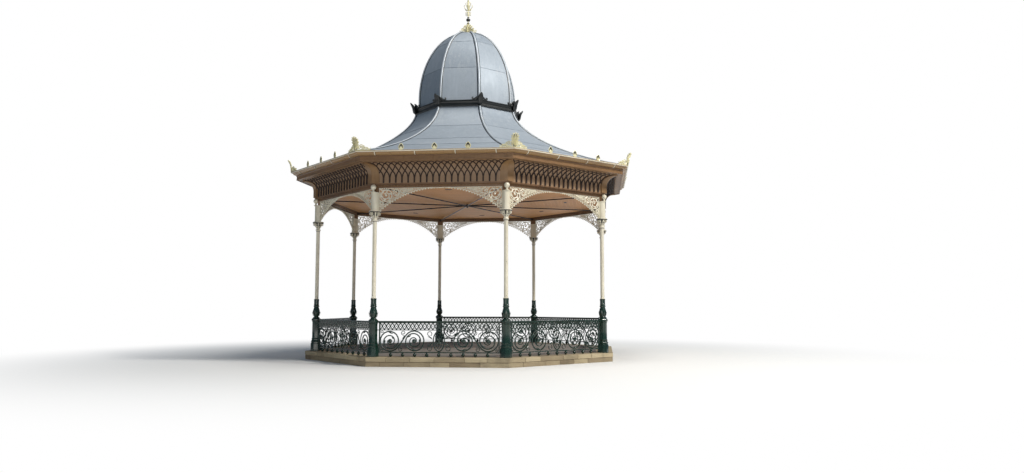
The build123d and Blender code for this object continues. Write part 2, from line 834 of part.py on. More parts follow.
def write(name, solids, lift=plinth_height):
    """Write one node, its solids lifted from floor level to their height above the ground."""
    pieces = solids if isinstance(solids, list) else [solids]
    placed = [Pos(0, 0, lift) * piece for piece in pieces]
    found = [solid for piece in placed for solid in piece.solids()]
    shape = found[0] if len(found) == 1 else Compound(children=found)
    export_step(shape, f"parts/{name}.step")


os.makedirs("parts", exist_ok=True)

write("plinth_kerb", plinth_kerb(), lift=0)
write("floor_slab", floor_slab(), lift=0)
at_corner = Pos(0, -column_ring)
write("pedestals", round_the_octagon(at_corner * pedestal(), bay_angle / 2))
for name, piece in zip(column_names, round_the_octagon(at_corner * column(), bay_angle / 2)):
    write(f"column_{name}", piece)
for name, piece in zip(bay_names, round_the_octagon(railing())):
    if name != open_bay:
        write(f"railing_{name}", piece)
for name, piece in zip(bay_names, round_the_octagon(spandrel())):
    write(f"spandrel_{name}", piece)
for name, piece in zip(bay_names, round_the_octagon(frieze())):
    write(f"frieze_{name}", piece)
write("wall_plate", wall_plate())
write("ceiling", ceiling())
write("tie_rods", tie_rods())
write("eaves_cove", eaves_cove())
write("hip_boards", hip_boards())
write("eaves_plate", eaves_plate())
write("gutter", gutter())
write("gutter_crests", gutter_crests())
write("corner_acroteria", corner_acroteria())
write("roof_skirt", roof_skirt())
write("skirt_rolls", skirt_rolls())
write("neck_band", neck_band())
write("neck_leaves", neck_leaves())
write("dome", dome())
write("dome_rolls", dome_rolls())
write("finial", finial())
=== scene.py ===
"""Visual model of an octagonal bandstand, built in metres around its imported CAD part."""

import logging
from collections.abc import Callable, Iterable, Sequence
from dataclasses import dataclass
from enum import Enum
from math import acos, asin, atan2, cos, hypot, pi, radians, sin, sqrt, tan
from random import Random
from typing import Union

import bmesh
import bpy
from mathutils import Matrix, Vector, noise


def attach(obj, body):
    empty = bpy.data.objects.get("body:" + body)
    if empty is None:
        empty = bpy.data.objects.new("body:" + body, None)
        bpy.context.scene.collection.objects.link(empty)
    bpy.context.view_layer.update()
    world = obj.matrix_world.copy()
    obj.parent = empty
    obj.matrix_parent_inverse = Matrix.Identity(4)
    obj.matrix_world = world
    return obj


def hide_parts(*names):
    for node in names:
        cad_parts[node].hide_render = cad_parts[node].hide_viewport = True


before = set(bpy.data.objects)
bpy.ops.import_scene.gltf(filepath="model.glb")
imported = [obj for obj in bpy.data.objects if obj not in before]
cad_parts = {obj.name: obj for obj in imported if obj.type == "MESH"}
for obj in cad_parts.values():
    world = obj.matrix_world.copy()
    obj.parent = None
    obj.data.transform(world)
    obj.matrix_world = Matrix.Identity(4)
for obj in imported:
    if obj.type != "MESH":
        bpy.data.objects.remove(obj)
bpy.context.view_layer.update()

log = logging.getLogger("bandstand")

Point = tuple[float, float]
Points = list[Point]
Triple = tuple[float, float, float]
Term = Union["Value", float]

SIDES = 8
BAY = 2 * pi / SIDES
HALF = BAY / 2
FLOOR = 0.26
COLUMN_RING = 4.95
COLUMN_LINE = COLUMN_RING * cos(HALF)
BAY_HALF = COLUMN_RING * sin(HALF)
DRUM = 0.156
DIE = 0.116
CAP = 0.142
HEAD_HALF = 0.1025
ARCH_FOOT = 4.4
BEAM_FOOT = 5.095
BEAM_BACK = COLUMN_LINE - 0.1
COVE_FACE = COLUMN_LINE + 0.116
COVE_FOOT = 5.185
COVE_STRAIGHT = 0.205
COVE_RADIUS = 0.355
COVE_HEAD = COVE_FACE + COVE_RADIUS
SOFFIT = COVE_FOOT + COVE_STRAIGHT + COVE_RADIUS
FASCIA = COVE_HEAD + 0.1853
DOME_TOP = 11.173
FRONT = Vector((0.0, -1.0, 0.0))
RIGHT = Vector((1.0, 0.0, 0.0))
UP = Vector((0.0, 0.0, 1.0))
HANDS = (-1, 1)
BAY_NAMES = ["front", "front_right", "right", "back_right", "back", "back_left", "left", "front_left"]
OPEN_BAY = "back_left"
COLUMN_NAMES = [
    "front_right", "right_front", "right_back", "back_right", "back_left", "left_back", "left_front",
    "front_left"
]


class Slot(Enum):
    """Material slots of the record that the pieces take their finish from."""

    STONE = "buff_stone"
    PAVING = "paving"
    GREEN = "green_iron"
    CREAM = "cream_iron"
    BROWN = "brown_timber"
    CEILING = "ceiling_boards"
    COVE = "cove_boards"
    HIP = "hip_paint"
    EAVES = "eaves_timber"
    RIBS = "dark_ribs"
    GUTTER = "cream_gutter"
    GILT = "gilt_iron"
    ZINC = "zinc_sheet"
    ROLL = "zinc_roll"
    BLACK = "black_iron"


class Value:
    """A shader socket that takes part in sums, each of which adds a Math node."""

    def __init__(self, shader: "Graph", socket: bpy.types.NodeSocket) -> None:
        """Keep the socket and the nodes that it belongs to."""
        self.shader = shader
        self.socket = socket

    def _math(self, operation: str, first: Term, second: Term) -> "Value":
        """Add a Math node.

        Args:
            operation: Name of the Math node's operation.
            first: Its first term.
            second: Its second term.

        Returns:
            The node's value.
        """
        return self.shader.value("ShaderNodeMath", {"operation": operation}, {0: first, 1: second})

    def __add__(self, other: Term) -> "Value":
        """Sum."""
        return self._math("ADD", self, other)

    def __radd__(self, other: Term) -> "Value":
        """Sum with a number before it."""
        return self._math("ADD", other, self)

    def __sub__(self, other: Term) -> "Value":
        """Difference."""
        return self._math("SUBTRACT", self, other)

    def __mul__(self, other: Term) -> "Value":
        """Product."""
        return self._math("MULTIPLY", self, other)

    def __pow__(self, other: Term) -> "Value":
        """Power."""
        return self._math("POWER", self, other)


class Graph:
    """The nodes of a material or of the world."""

    def __init__(self, tree: bpy.types.NodeTree) -> None:
        """Start with no nodes."""
        self.tree = tree
        self.tree.nodes.clear()

    def link(self, source: bpy.types.NodeSocket, target: bpy.types.NodeSocket) -> None:
        """Join two sockets."""
        self.tree.links.new(source, target)

    def node(self, kind: str, settings: dict | None = None, inputs: dict | None = None) -> bpy.types.Node:
        """Add any node.

        Args:
            kind: Type name of the node.
            settings: Its settings, set first.
            inputs: Values or links of its sockets by name or number.

        Returns:
            The new node.
        """
        node = self.tree.nodes.new(kind)
        for name, setting in (settings or {}).items():
            setattr(node, name, setting)
        for name, value in (inputs or {}).items():
            if isinstance(value, Value):
                self.link(value.socket, node.inputs[name])
            else:
                node.inputs[name].default_value = value
        return node

    def value(
        self, kind: str, settings: dict | None = None, inputs: dict | None = None, output: str | int = 0
    ) -> Value:
        """Add a node and take one of its outputs.

        Args:
            kind: Type name of the node.
            settings: Its settings.
            inputs: Values or links of its sockets.
            output: Name or number of the output.

        Returns:
            The output's value.
        """
        return Value(self, self.node(kind, settings, inputs).outputs[output])

    def mix(
        self, factor: Value, first: bpy.types.Node, second: bpy.types.Node, output: bpy.types.Node
    ) -> None:
        """Show one shader or another by a factor.

        Args:
            factor: Share of the second shader.
            first: Node of the first shader.
            second: Node of the second shader.
            output: Output node that shows the mix.
        """
        mixer = self.node("ShaderNodeMixShader", None, {"Fac": factor})
        self.link(first.outputs[0], mixer.inputs[1])
        self.link(second.outputs[0], mixer.inputs[2])
        self.link(mixer.outputs["Shader"], output.inputs["Surface"])


class Shader(Graph):
    """A material with the nodes that make its look."""

    def __init__(self, name: str) -> None:
        """Start an empty material with its output and surface shader."""
        self.material = bpy.data.materials.new(name)
        self.material.use_nodes = True
        super().__init__(self.material.node_tree)
        self.output = self.node("ShaderNodeOutputMaterial")
        self.surface = self.node("ShaderNodeBsdfPrincipled")
        self.link(self.surface.outputs["BSDF"], self.output.inputs["Surface"])

    def spot(self, scale: Triple = (1.0, 1.0, 1.0)) -> Value:
        """Object coordinates, stretched by a scale."""
        place = self.value("ShaderNodeTexCoord", output="Object")
        return self.value("ShaderNodeMapping", {"vector_type": "POINT"}, {"Vector": place, "Scale": scale})

    def noise(self, vector: Value, scale: float, detail: float = 4.0, roughness: float = 0.55) -> Value:
        """Cloudy noise from 0 to 1 at a number of repeats for each metre."""
        inputs = {"Vector": vector, "Scale": scale, "Detail": detail, "Roughness": roughness}
        return self.value("ShaderNodeTexNoise", None, inputs, "Fac")

    def tone(self) -> Value:
        """The tone that each block, board or sheet carries in its mesh."""
        return self.value("ShaderNodeAttribute", {"attribute_name": "tone"}, None, "Fac")

    def spread(self, value: Value, low: float, high: float) -> Value:
        """A value's range from low to high, stretched to 0 to 1 with a soft start and end."""
        settings = {"interpolation_type": "SMOOTHSTEP", "clamp": True}
        return self.value(
            "ShaderNodeMapRange", settings, {"Value": value, "From Min": low, "From Max": high}
        )

    def blend(self, factor: Term, first: Value | Triple, second: Value | Triple) -> Value:
        """Mix of two colours.

        Args:
            factor: Share of the second colour.
            first: First colour.
            second: Second colour.

        Returns:
            The mixed colour.
        """
        colours = [c if isinstance(c, Value) else (*c, 1.0) for c in (first, second)]
        settings = {"data_type": "RGBA", "blend_type": "MIX"}
        return self.value("ShaderNodeMix", settings, {0: factor, 6: colours[0], 7: colours[1]}, 2)

    def dress(
        self, colour: Value, roughness: Value, height: Value, depth: float, metallic: float = 0.0,
        coat: float = 0.0
    ) -> bpy.types.Material:
        """Give the surface its look.

        Args:
            colour: Base colour.
            roughness: Roughness.
            height: Height that the bump follows.
            depth: Real depth of the bump in metres.
            metallic: Share of bare metal.
            coat: Weight of the gloss coat.

        Returns:
            The material.
        """
        bump = self.value("ShaderNodeBump", None, {"Height": height, "Distance": depth, "Strength": 1.0})
        for name, value in (("Base Color", colour), ("Roughness", roughness), ("Normal", bump)):
            self.link(value.socket, self.surface.inputs[name])
        for name, number in (("Metallic", metallic), ("Coat Weight", coat), ("Coat Roughness", 0.12)):
            self.surface.inputs[name].default_value = number
        return self.material


@dataclass(frozen=True)
class Paint:
    """Brushed paint on iron or timber, with dust, thin streaks and slow changes of tone."""

    name: str
    colour: Triple
    worn: Triple
    dirt: Triple
    roughness: float
    coat: float
    dirt_share: float

    def build(self) -> bpy.types.Material:
        """Make the material."""
        shader = Shader(self.name)
        spot = shader.spot()
        broad = shader.noise(spot, 1.7, 3.0)
        fine = shader.noise(spot, 34.0, 5.0, 0.6)
        runs = shader.noise(shader.spot((9.0, 9.0, 0.8)), 1.6, 5.0, 0.6)
        colour = shader.blend(shader.spread(broad, 0.32, 0.7), self.colour, self.worn)
        stain = shader.spread(runs * 0.7 + fine * 0.3, 0.5, 0.74)
        colour = shader.blend(stain * self.dirt_share, colour, self.dirt)
        roughness = self.roughness + stain * 0.22 + (fine - 0.5) * 0.12
        return shader.dress(colour, roughness, fine + runs * 0.5, 0.0012, 0.0, self.coat)


@dataclass(frozen=True)
class Stone:
    """Sawn or dressed stone with a tone for each block, bedding, pores and damp."""

    name: str
    light: Triple
    dark: Triple
    stain: Triple
    bed: float = 7.0
    depth: float = 0.004

    def build(self) -> bpy.types.Material:
        """Make the material."""
        shader = Shader(self.name)
        spot = shader.spot()
        cloud = shader.noise(spot, 3.2, 5.0, 0.6)
        grain = shader.noise(spot, 62.0, 6.0, 0.7)
        beds = shader.noise(shader.spot((0.7, 0.7, self.bed)), 4.0, 4.0, 0.6)
        mix = shader.tone() * 0.55 + cloud * 0.3 + beds * 0.25
        colour = shader.blend(shader.spread(mix, 0.2, 0.85), self.light, self.dark)
        damp = shader.spread(shader.noise(spot, 1.1, 5.0, 0.65), 0.5, 0.72)
        colour = shader.blend(damp * 0.5, colour, self.stain)
        colour = shader.blend(shader.spread(grain, 0.56, 0.72) * 0.35, colour, self.dark)
        roughness = 0.82 + (grain - 0.5) * 0.2
        return shader.dress(colour, roughness, cloud * 0.5 + grain * 0.35 + beds * 0.4, self.depth)


@dataclass(frozen=True)
class Boards:
    """Painted boards with a tone for each board, faint grain along it and dust."""

    name: str
    colour: Triple
    shade: Triple
    dust: Triple
    roughness: float = 0.52

    def build(self) -> bpy.types.Material:
        """Make the material."""
        shader = Shader(self.name)
        spot = shader.spot()
        cloud = shader.noise(spot, 1.3, 4.0)
        grain = shader.noise(shader.spot((14.0, 14.0, 14.0)), 2.6, 6.0, 0.65)
        mix = shader.tone() * 0.6 + shader.spread(cloud, 0.3, 0.7) * 0.4
        colour = shader.blend(mix, self.colour, self.shade)
        dust = shader.spread(shader.noise(spot, 5.0, 6.0, 0.7), 0.5, 0.75)
        colour = shader.blend(dust * 0.3, colour, self.dust)
        return shader.dress(colour, self.roughness + (grain - 0.5) * 0.25, grain, 0.0015)


@dataclass(frozen=True)
class Zinc:
    """Weathered zinc sheet: cloudy patina, runs of rain, and a tone for each sheet."""

    name: str
    light: Triple
    dark: Triple
    bloom: Triple
    metallic: float = 0.25

    def build(self) -> bpy.types.Material:
        """Make the material."""
        shader = Shader(self.name)
        spot = shader.spot()
        cloud = shader.noise(spot, 1.5, 6.0, 0.62)
        fine = shader.noise(spot, 22.0, 6.0, 0.7)
        runs = shader.noise(shader.spot((7.0, 7.0, 0.5)), 1.4, 5.0, 0.6)
        mix = shader.tone() * 0.4 + shader.spread(
            cloud, 0.32, 0.68
        ) * 0.45 + shader.spread(runs, 0.35, 0.68) * 0.25
        colour = shader.blend(mix, self.light, self.dark)
        bloom = shader.spread(cloud * 0.4 + fine * 0.25 + runs * 0.4, 0.5, 0.64)
        colour = shader.blend(bloom * 0.4, colour, self.bloom)
        specks = shader.spread(shader.noise(spot, 9.0, 7.0, 0.75), 0.6, 0.7)
        colour = shader.blend(specks * 0.35, colour, self.dark)
        roughness = 0.36 + cloud * 0.2 + bloom * 0.12
        return shader.dress(colour, roughness, cloud * 0.6 + fine * 0.2, 0.003, self.metallic)


@dataclass(frozen=True)
class PaleFloor:
    """Studio floor that keeps the shadow and fades to white away from the bandstand."""

    name: str = "studio_floor"
    grey: float = 0.8
    fade_start: float = 7.0
    fade_end: float = 17.0

    def build(self) -> bpy.types.Material:
        """Make the material."""
        shader = Shader(self.name)
        parts = shader.node("ShaderNodeSeparateXYZ", None, {"Vector": shader.spot()}).outputs
        away = (Value(shader, parts["X"]) ** 2.0 + Value(shader, parts["Y"]) ** 2.0) ** 0.5
        rays = shader.node("ShaderNodeLightPath").outputs
        seen = Value(shader, rays["Is Camera Ray"]) + Value(shader, rays["Is Glossy Ray"])
        factor = shader.spread(away, self.fade_start, self.fade_end) * seen
        shader.surface.inputs["Base Color"].default_value = (self.grey, self.grey, self.grey * 0.99, 1.0)
        shader.surface.inputs["Roughness"].default_value = 0.9
        glow = shader.node("ShaderNodeEmission", None, {"Color": (1.0, 1.0, 1.0, 1.0), "Strength": 1.0})
        shader.mix(factor, shader.surface, glow, shader.output)
        return shader.material


@dataclass(frozen=True)
class Finishes:
    """Every finish of the bandstand by its slot, as built materials."""

    materials: dict[Slot, bpy.types.Material]

    @staticmethod
    def build() -> "Finishes":
        """Make all the materials."""
        makers = {
            Slot.STONE: Stone("buff_stone", (0.47, 0.39, 0.25), (0.2, 0.15, 0.09), (0.1, 0.085, 0.055)),
            # Paving colours are darkened to the flags' look in the roof's shade: painted shade.
            Slot.PAVING: Stone(
                "paving", (0.27, 0.245, 0.222), (0.19, 0.17, 0.153), (0.13, 0.117, 0.106), 1.0, 0.002
            ),
            Slot.GREEN: Paint(
                "green_gloss", (0.0035, 0.02, 0.013), (0.006, 0.028, 0.019), (0.026, 0.034, 0.026), 0.24,
                0.3, 0.1
            ),
            Slot.CREAM: Paint(
                "cream_gloss", (0.7, 0.655, 0.53), (0.63, 0.58, 0.45), (0.28, 0.225, 0.15), 0.34, 0.2, 0.32
            ),
            Slot.BROWN: Paint(
                "tan_brown", (0.13, 0.066, 0.027), (0.17, 0.09, 0.04), (0.05, 0.03, 0.018), 0.45, 0.1, 0.4
            ),
            # Ceiling colours are partly the boards' tan paint and partly painted light: a warm orange for
            # light thrown up from the ground.
            Slot.CEILING: Boards(
                "ceiling_tan_and_warm_bounce", (0.61, 0.275, 0.07), (0.5, 0.22, 0.055), (0.35, 0.17, 0.055)
            ),
            # Cove colours are partly the boards' own beige and partly painted shade, darkened to their look
            # under the eaves.
            Slot.COVE: Boards("cove_beige_painted_shade", (0.28, 0.175, 0.1), (0.21, 0.13, 0.075), (0.14, 0.088, 0.055)),
            # Hip colours are partly the boards' own beige and partly painted shade, darkened to their look
            # in shade.
            Slot.HIP: Paint(
                "hip_beige_painted_shade", (0.22, 0.122, 0.048), (0.18, 0.098, 0.038), (0.1, 0.055, 0.023), 0.5, 0.05, 0.4
            ),
            # Eaves colours are partly the timber's own beige and partly painted shade, darkened to their
            # look under the gutter.
            Slot.EAVES: Paint(
                "eaves_beige_painted_shade", (0.2, 0.106, 0.041), (0.165, 0.086, 0.033), (0.095, 0.052, 0.022), 0.5, 0.05,
                0.45
            ),
            Slot.RIBS: Paint(
                "rib_brown", (0.016, 0.0065, 0.003), (0.024, 0.01, 0.005), (0.035, 0.018, 0.01), 0.7, 0.0,
                0.2
            ),
            # Gutter colours are the cream paint darkened as painted shade; its rim and collars keep the
            # plain cream.
            Slot.GUTTER: Paint(
                "gutter_cream_painted_shade", (0.31, 0.185, 0.074), (0.26, 0.15, 0.058), (0.13, 0.075, 0.03), 0.42, 0.15,
                0.5
            ),
            Slot.GILT: Paint(
                "pale_gilt", (0.68, 0.64, 0.42), (0.57, 0.52, 0.3), (0.13, 0.11, 0.05), 0.36, 0.2, 0.75
            ),
            Slot.ZINC: Zinc("zinc", (0.38, 0.425, 0.475), (0.2, 0.24, 0.29), (0.5, 0.535, 0.565)),
            Slot.ROLL: Zinc("zinc_roll", (0.46, 0.5, 0.54), (0.28, 0.32, 0.365), (0.6, 0.61, 0.62)),
            Slot.BLACK: Paint(
                "black_gloss", (0.003, 0.0045, 0.005), (0.006, 0.008, 0.008), (0.022, 0.024, 0.022), 0.36,
                0.15, 0.2
            )
        }
        return Finishes({slot: maker.build() for slot, maker in makers.items()})


def spin_matrix(step: int, turn: float = 0.0) -> Matrix:
    """Turn about the centre line to one side of the octagon, from the front one."""
    return Matrix.Rotation(turn + BAY * step, 4, "Z")


def upright(x: Vector, y: Vector, z: Vector, spot: Vector) -> Matrix:
    """Matrix whose columns are three axes and a place."""
    matrix = Matrix((x, y, z)).transposed().to_4x4()
    matrix.translation = spot
    return matrix


def bay_point(x: float, z: float, distance: float = COLUMN_LINE) -> Vector:
    """A place on the front bay's upright plane."""
    return Vector((x, -distance, z))


def bay_line(points: Iterable[Point], distance: float = COLUMN_LINE) -> list[Vector]:
    """Places on the front bay's upright plane, or one at another distance from the centre."""
    return [bay_point(x, z, distance) for x, z in points]


def radial_line(points: Iterable[Point]) -> list[Vector]:
    """Places on the upright plane through the centre that faces -Y, from (reach, height) points."""
    return [Vector((0.0, -r, z)) for r, z in points]


def shifted(points: Points, across: float, up: float = 0.0) -> Points:
    """Points moved by a distance across and up."""
    return [(x + across, z + up) for x, z in points]


def symmetric(half: Points) -> Points:
    """A closed outline from its right half, which runs from foot to head."""
    return half + [(-x, z) for x, z in half[::-1] if x]


def graded(path: Sequence, rule: Callable[[float], float]) -> list[float]:
    """A size for each point of a path, by a rule of the share along it."""
    last = len(path) - 1
    return [rule(i / last) for i in range(last + 1)]


def ball(radius: float, middle: float, half: float, degrees: range) -> Points:
    """Profile of a round or flattened ball over a range of latitudes."""
    return [(radius * cos(radians(a)), middle + half * sin(radians(a))) for a in degrees]


def spiral(
    centre: Point, start: float, turns: float, radii: Point, hold: float = 0.0, steps: int = 14
) -> Points:
    """Points of a scroll.

    Args:
        centre: Its middle.
        start: Angle of its outer end.
        turns: Turns that it makes, negative for clockwise.
        radii: Its outer radius, and the radius where it ends.
        hold: Share of the turns at the outer radius before it curls in.
        steps: Steps for each turn.

    Returns:
        Its points from the outer end inwards.
    """
    count = max(3, round(abs(turns) * steps))
    points = []
    for i in range(count + 1):
        along = i / count
        curl = max(0.0, along - hold) / (1.0 - hold)
        reach = radii[0] + (radii[1] - radii[0]) * curl
        angle = start + 2 * pi * turns * along
        points.append((centre[0] + reach * cos(angle), centre[1] + reach * sin(angle)))
    return points


def arc(centre: Point, radius: float, start: float, end: float, steps: int) -> Points:
    """Points of a round arc between two angles."""
    angles = [start + (end - start) * i / steps for i in range(steps + 1)]
    return [(centre[0] + radius * cos(a), centre[1] + radius * sin(a)) for a in angles]


def smooth_line(points: Sequence[Point], steps: int = 4) -> Points:
    """A smooth line through a few points, with a number of steps between each two."""
    line = []
    last = len(points) - 1
    for i in range(last):
        near = [points[max(0, min(last, k))] for k in (i - 1, i, i + 1, i + 2)]
        for j in range(steps):
            t = j / steps
            shares = [
                2 * t * t - t - t**3, 2 - 5 * t * t + 3 * t**3, t + 4 * t * t - 3 * t**3, t**3 - t * t
            ]
            line.append(tuple(sum(s * p[k] for s, p in zip(shares, near)) / 2 for k in (0, 1)))
    line.append(points[-1])
    return line


def of_kind(elements: Iterable, kind: type) -> list:
    """The elements of one kind, such as edges, among what an operator made."""
    return [e for e in elements if isinstance(e, kind)]


class Form:
    """A mesh under construction, to which each shape is added by bmesh operators."""

    def __init__(self) -> None:
        """Start empty."""
        self.bm = bmesh.new()
        self.bm.verts.layers.float.new("tone")

    def add(self, part: bmesh.types.BMesh, matrix: Matrix | None = None, tone: float = 0.5) -> None:
        """Add a part with its faces turned outwards, and free it.

        Args:
            part: The part.
            matrix: Where it goes.
            tone: Its tone for the finish.
        """
        bmesh.ops.recalc_face_normals(part, faces=part.faces)
        if matrix is not None:
            bmesh.ops.transform(part, matrix=matrix, verts=part.verts)
        layer = part.verts.layers.float.get("tone") or part.verts.layers.float.new("tone")
        for vert in part.verts:
            vert[layer] = tone
        mesh = bpy.data.meshes.new("part")
        part.to_mesh(mesh)
        part.free()
        self.bm.from_mesh(mesh)
        bpy.data.meshes.remove(mesh)

    def merge(self, other: "Form", matrix: Matrix | None = None) -> "Form":
        """Add a copy of another form, which keeps its tones.

        Args:
            other: The other form.
            matrix: Where its copy goes.

        Returns:
            This form.
        """
        mesh = bpy.data.meshes.new("part")
        other.bm.to_mesh(mesh)
        if matrix is not None:
            mesh.transform(matrix)
            if matrix.determinant() < 0:
                mesh.flip_normals()
        self.bm.from_mesh(mesh)
        bpy.data.meshes.remove(mesh)
        return self

    def round_the_octagon(self, other: "Form", turn: float = 0.0) -> "Form":
        """Add eight copies of a form, one for each side, or each corner with a turn of half a bay."""
        for i in range(SIDES):
            self.merge(other, spin_matrix(i, turn))
        return self

    def at_columns(self, other: "Form") -> "Form":
        """Add eight copies of a form, one on the axis of each column."""
        return self.round_the_octagon(other.set_out(), HALF)

    def set_out(self) -> "Form":
        """A copy moved from the centre line to a column's axis at the front."""
        return Form().merge(self, Matrix.Translation(FRONT * COLUMN_RING))

    def sweep(
        self, path: list[Vector], facing: Vector | list[Vector], width: float | list[float],
        depth: float | list[float], sides: int = 6
    ) -> None:
        """Add a bar along a path.

        Args:
            path: Its middle line.
            facing: Direction that its front faces, one for all or one for each point.
            width: Width across the path, one for all or one for each point.
            depth: Depth along the facing direction, likewise.
            sides: Sides of its section.
        """
        count = len(path)
        fronts, widths, depths = (v if isinstance(v, list) else [v] * count for v in (facing, width, depth))
        frames = []
        for i, spot in enumerate(path):
            along = (path[min(i + 1, count - 1)] - path[max(i - 1, 0)]).normalized()
            front = (fronts[i] - along * fronts[i].dot(along)).normalized()
            size = Matrix.Diagonal((max(widths[i], 1e-4) / 2, max(depths[i], 1e-4) / 2, 1.0, 1.0))
            frames.append(upright(front.cross(along), front, along, spot) @ size)
        part = bmesh.new()
        radius, turn = (sqrt(2), pi / 4) if sides == 4 else (1.0, 0.0)
        start = frames[0] @ Matrix.Rotation(turn, 4, "Z")
        bmesh.ops.create_circle(part, cap_ends=True, radius=radius, segments=sides, matrix=start)
        edges = list(part.edges)
        for before, after in zip(frames, frames[1:]):
            made = bmesh.ops.extrude_edge_only(part, edges=edges)["geom"]
            verts = of_kind(made, bmesh.types.BMVert)
            fresh = set(verts)
            edges = [e for e in of_kind(made, bmesh.types.BMEdge) if fresh.issuperset(e.verts)]
            bmesh.ops.transform(part, matrix=after @ before.inverted(), verts=verts)
        bmesh.ops.contextual_create(part, geom=edges)
        self.add(part)

    def spin(
        self, profile: Points, steps: int, closed: bool = False, start: float = 0.0,
        matrix: Matrix | None = None, tone: float = 0.5
    ) -> None:
        """Add a profile turned about the upright axis.

        Args:
            profile: Its (radius, height) points. An open one starts and ends on the axis.
            steps: Steps of the full turn.
            closed: Whether the profile is a loop off the axis.
            start: Angle of the profile's plane, from -Y.
            matrix: Where the turned shape goes.
            tone: Its tone.
        """
        part = bmesh.new()
        verts = [part.verts.new(spot) for spot in radial_line(profile)]
        pairs = list(zip(verts, verts[1:])) + ([(verts[-1], verts[0])] if closed else [])
        edges = [part.edges.new(pair) for pair in pairs]
        bmesh.ops.rotate(part, verts=verts, cent=(0, 0, 0), matrix=Matrix.Rotation(start, 3, "Z"))
        geom = verts + edges
        bmesh.ops.spin(
            part, geom=geom, cent=(0, 0, 0), axis=(0, 0, 1), angle=2 * pi, steps=steps, use_merge=True
        )
        bmesh.ops.remove_doubles(part, verts=part.verts, dist=1e-5)
        self.add(part, matrix, tone)

    def octagon_spin(self, profile: Points, closed: bool = True, tone: float = 0.5) -> None:
        """Add a moulding that runs round the octagon, from (distance of the flats, height) points."""
        self.spin([(a / cos(HALF), z) for a, z in profile], SIDES, closed, HALF, None, tone)

    @staticmethod
    def pushed(part: bmesh.types.BMesh, verts: list[bmesh.types.BMVert]) -> list[bmesh.types.BMVert]:
        """Close verts with a face, extrude it in place and return the fresh verts."""
        made = bmesh.ops.extrude_face_region(part, geom=[part.faces.new(verts)])["geom"]
        return of_kind(made, bmesh.types.BMVert)

    def plate(
        self, points: Points, thickness: float, matrix: Matrix, bevel: float = 0.0, tone: float = 0.5
    ) -> None:
        """Add a flat plate.

        Args:
            points: Its outline, in the plane of the matrix's x and y axes.
            thickness: Its thickness, half on each side of that plane.
            matrix: Its plane.
            bevel: Width of the bevel on its edges.
            tone: Its tone.
        """
        part = bmesh.new()
        fresh = self.pushed(part, [part.verts.new((x, y, -thickness / 2)) for x, y in points])
        bmesh.ops.translate(part, vec=(0, 0, thickness), verts=fresh)
        self.bevel(part, bevel)
        self.add(part, matrix, tone)

    @staticmethod
    def facet(section: Points) -> bmesh.types.BMesh:
        """One facet of an octagonal shell on the front side, between both corner planes.

        Args:
            section: Closed section of the shell at a corner, as (radius, height) points.

        Returns:
            The part.
        """
        part = bmesh.new()
        verts = [part.verts.new(spot) for spot in radial_line(section)]
        bmesh.ops.rotate(part, verts=verts, cent=(0, 0, 0), matrix=Matrix.Rotation(-HALF, 3, "Z"))
        fresh = Form.pushed(part, verts)
        bmesh.ops.rotate(part, verts=fresh, cent=(0, 0, 0), matrix=Matrix.Rotation(BAY, 3, "Z"))
        return part

    def block(self, low: Triple, high: Triple, bevel: float = 0.0, tone: float = 0.5) -> None:
        """Add a box between two corners, with a bevel on its edges."""
        self.add(self.cube(low, high, bevel), tone=tone)

    @staticmethod
    def cube(low: Triple, high: Triple, bevel: float) -> bmesh.types.BMesh:
        """A part: a box between two corners, with a bevel on its edges."""
        part = bmesh.new()
        bmesh.ops.create_cube(part, size=1.0)
        bmesh.ops.scale(part, vec=[b - a for a, b in zip(low, high)], verts=part.verts)
        bmesh.ops.translate(part, vec=[(a + b) / 2 for a, b in zip(low, high)], verts=part.verts)
        Form.bevel(part, bevel)
        return part

    @staticmethod
    def bevel(part: bmesh.types.BMesh, width: float) -> None:
        """Bevel all the edges of a part where the width isn't nothing."""
        if width:
            bmesh.ops.bevel(
                part, geom=list(part.edges), offset=width, affect="EDGES", segments=1, profile=0.5,
                material=-1
            )

    def bead(self, spot: Vector, size: Triple, sides: int = 6) -> None:
        """Add a small rounded stud, its middle at a spot and its sizes along the three axes."""
        part = bmesh.new()
        bmesh.ops.create_uvsphere(part, u_segments=sides, v_segments=max(4, sides // 2), radius=0.5)
        self.add(part, Matrix.Translation(spot) @ Matrix.Diagonal((*size, 1.0)))

    def cut(self, spot: Vector, normal: Vector) -> None:
        """Cut off what lies beyond a plane, and close the cut."""
        geom = [*self.bm.verts, *self.bm.edges, *self.bm.faces]
        made = bmesh.ops.bisect_plane(
            self.bm, geom=geom, dist=1e-6, plane_co=spot, plane_no=normal, clear_outer=True
        )
        bmesh.ops.holes_fill(self.bm, edges=of_kind(made["geom_cut"], bmesh.types.BMEdge))

    def mitre(self, clearance: float) -> None:
        """Cut a form of the front side at both corner planes, held back by a clearance."""
        for side in HANDS:
            normal = Vector((side * cos(HALF), sin(HALF), 0.0))
            self.cut(-normal * clearance, normal)

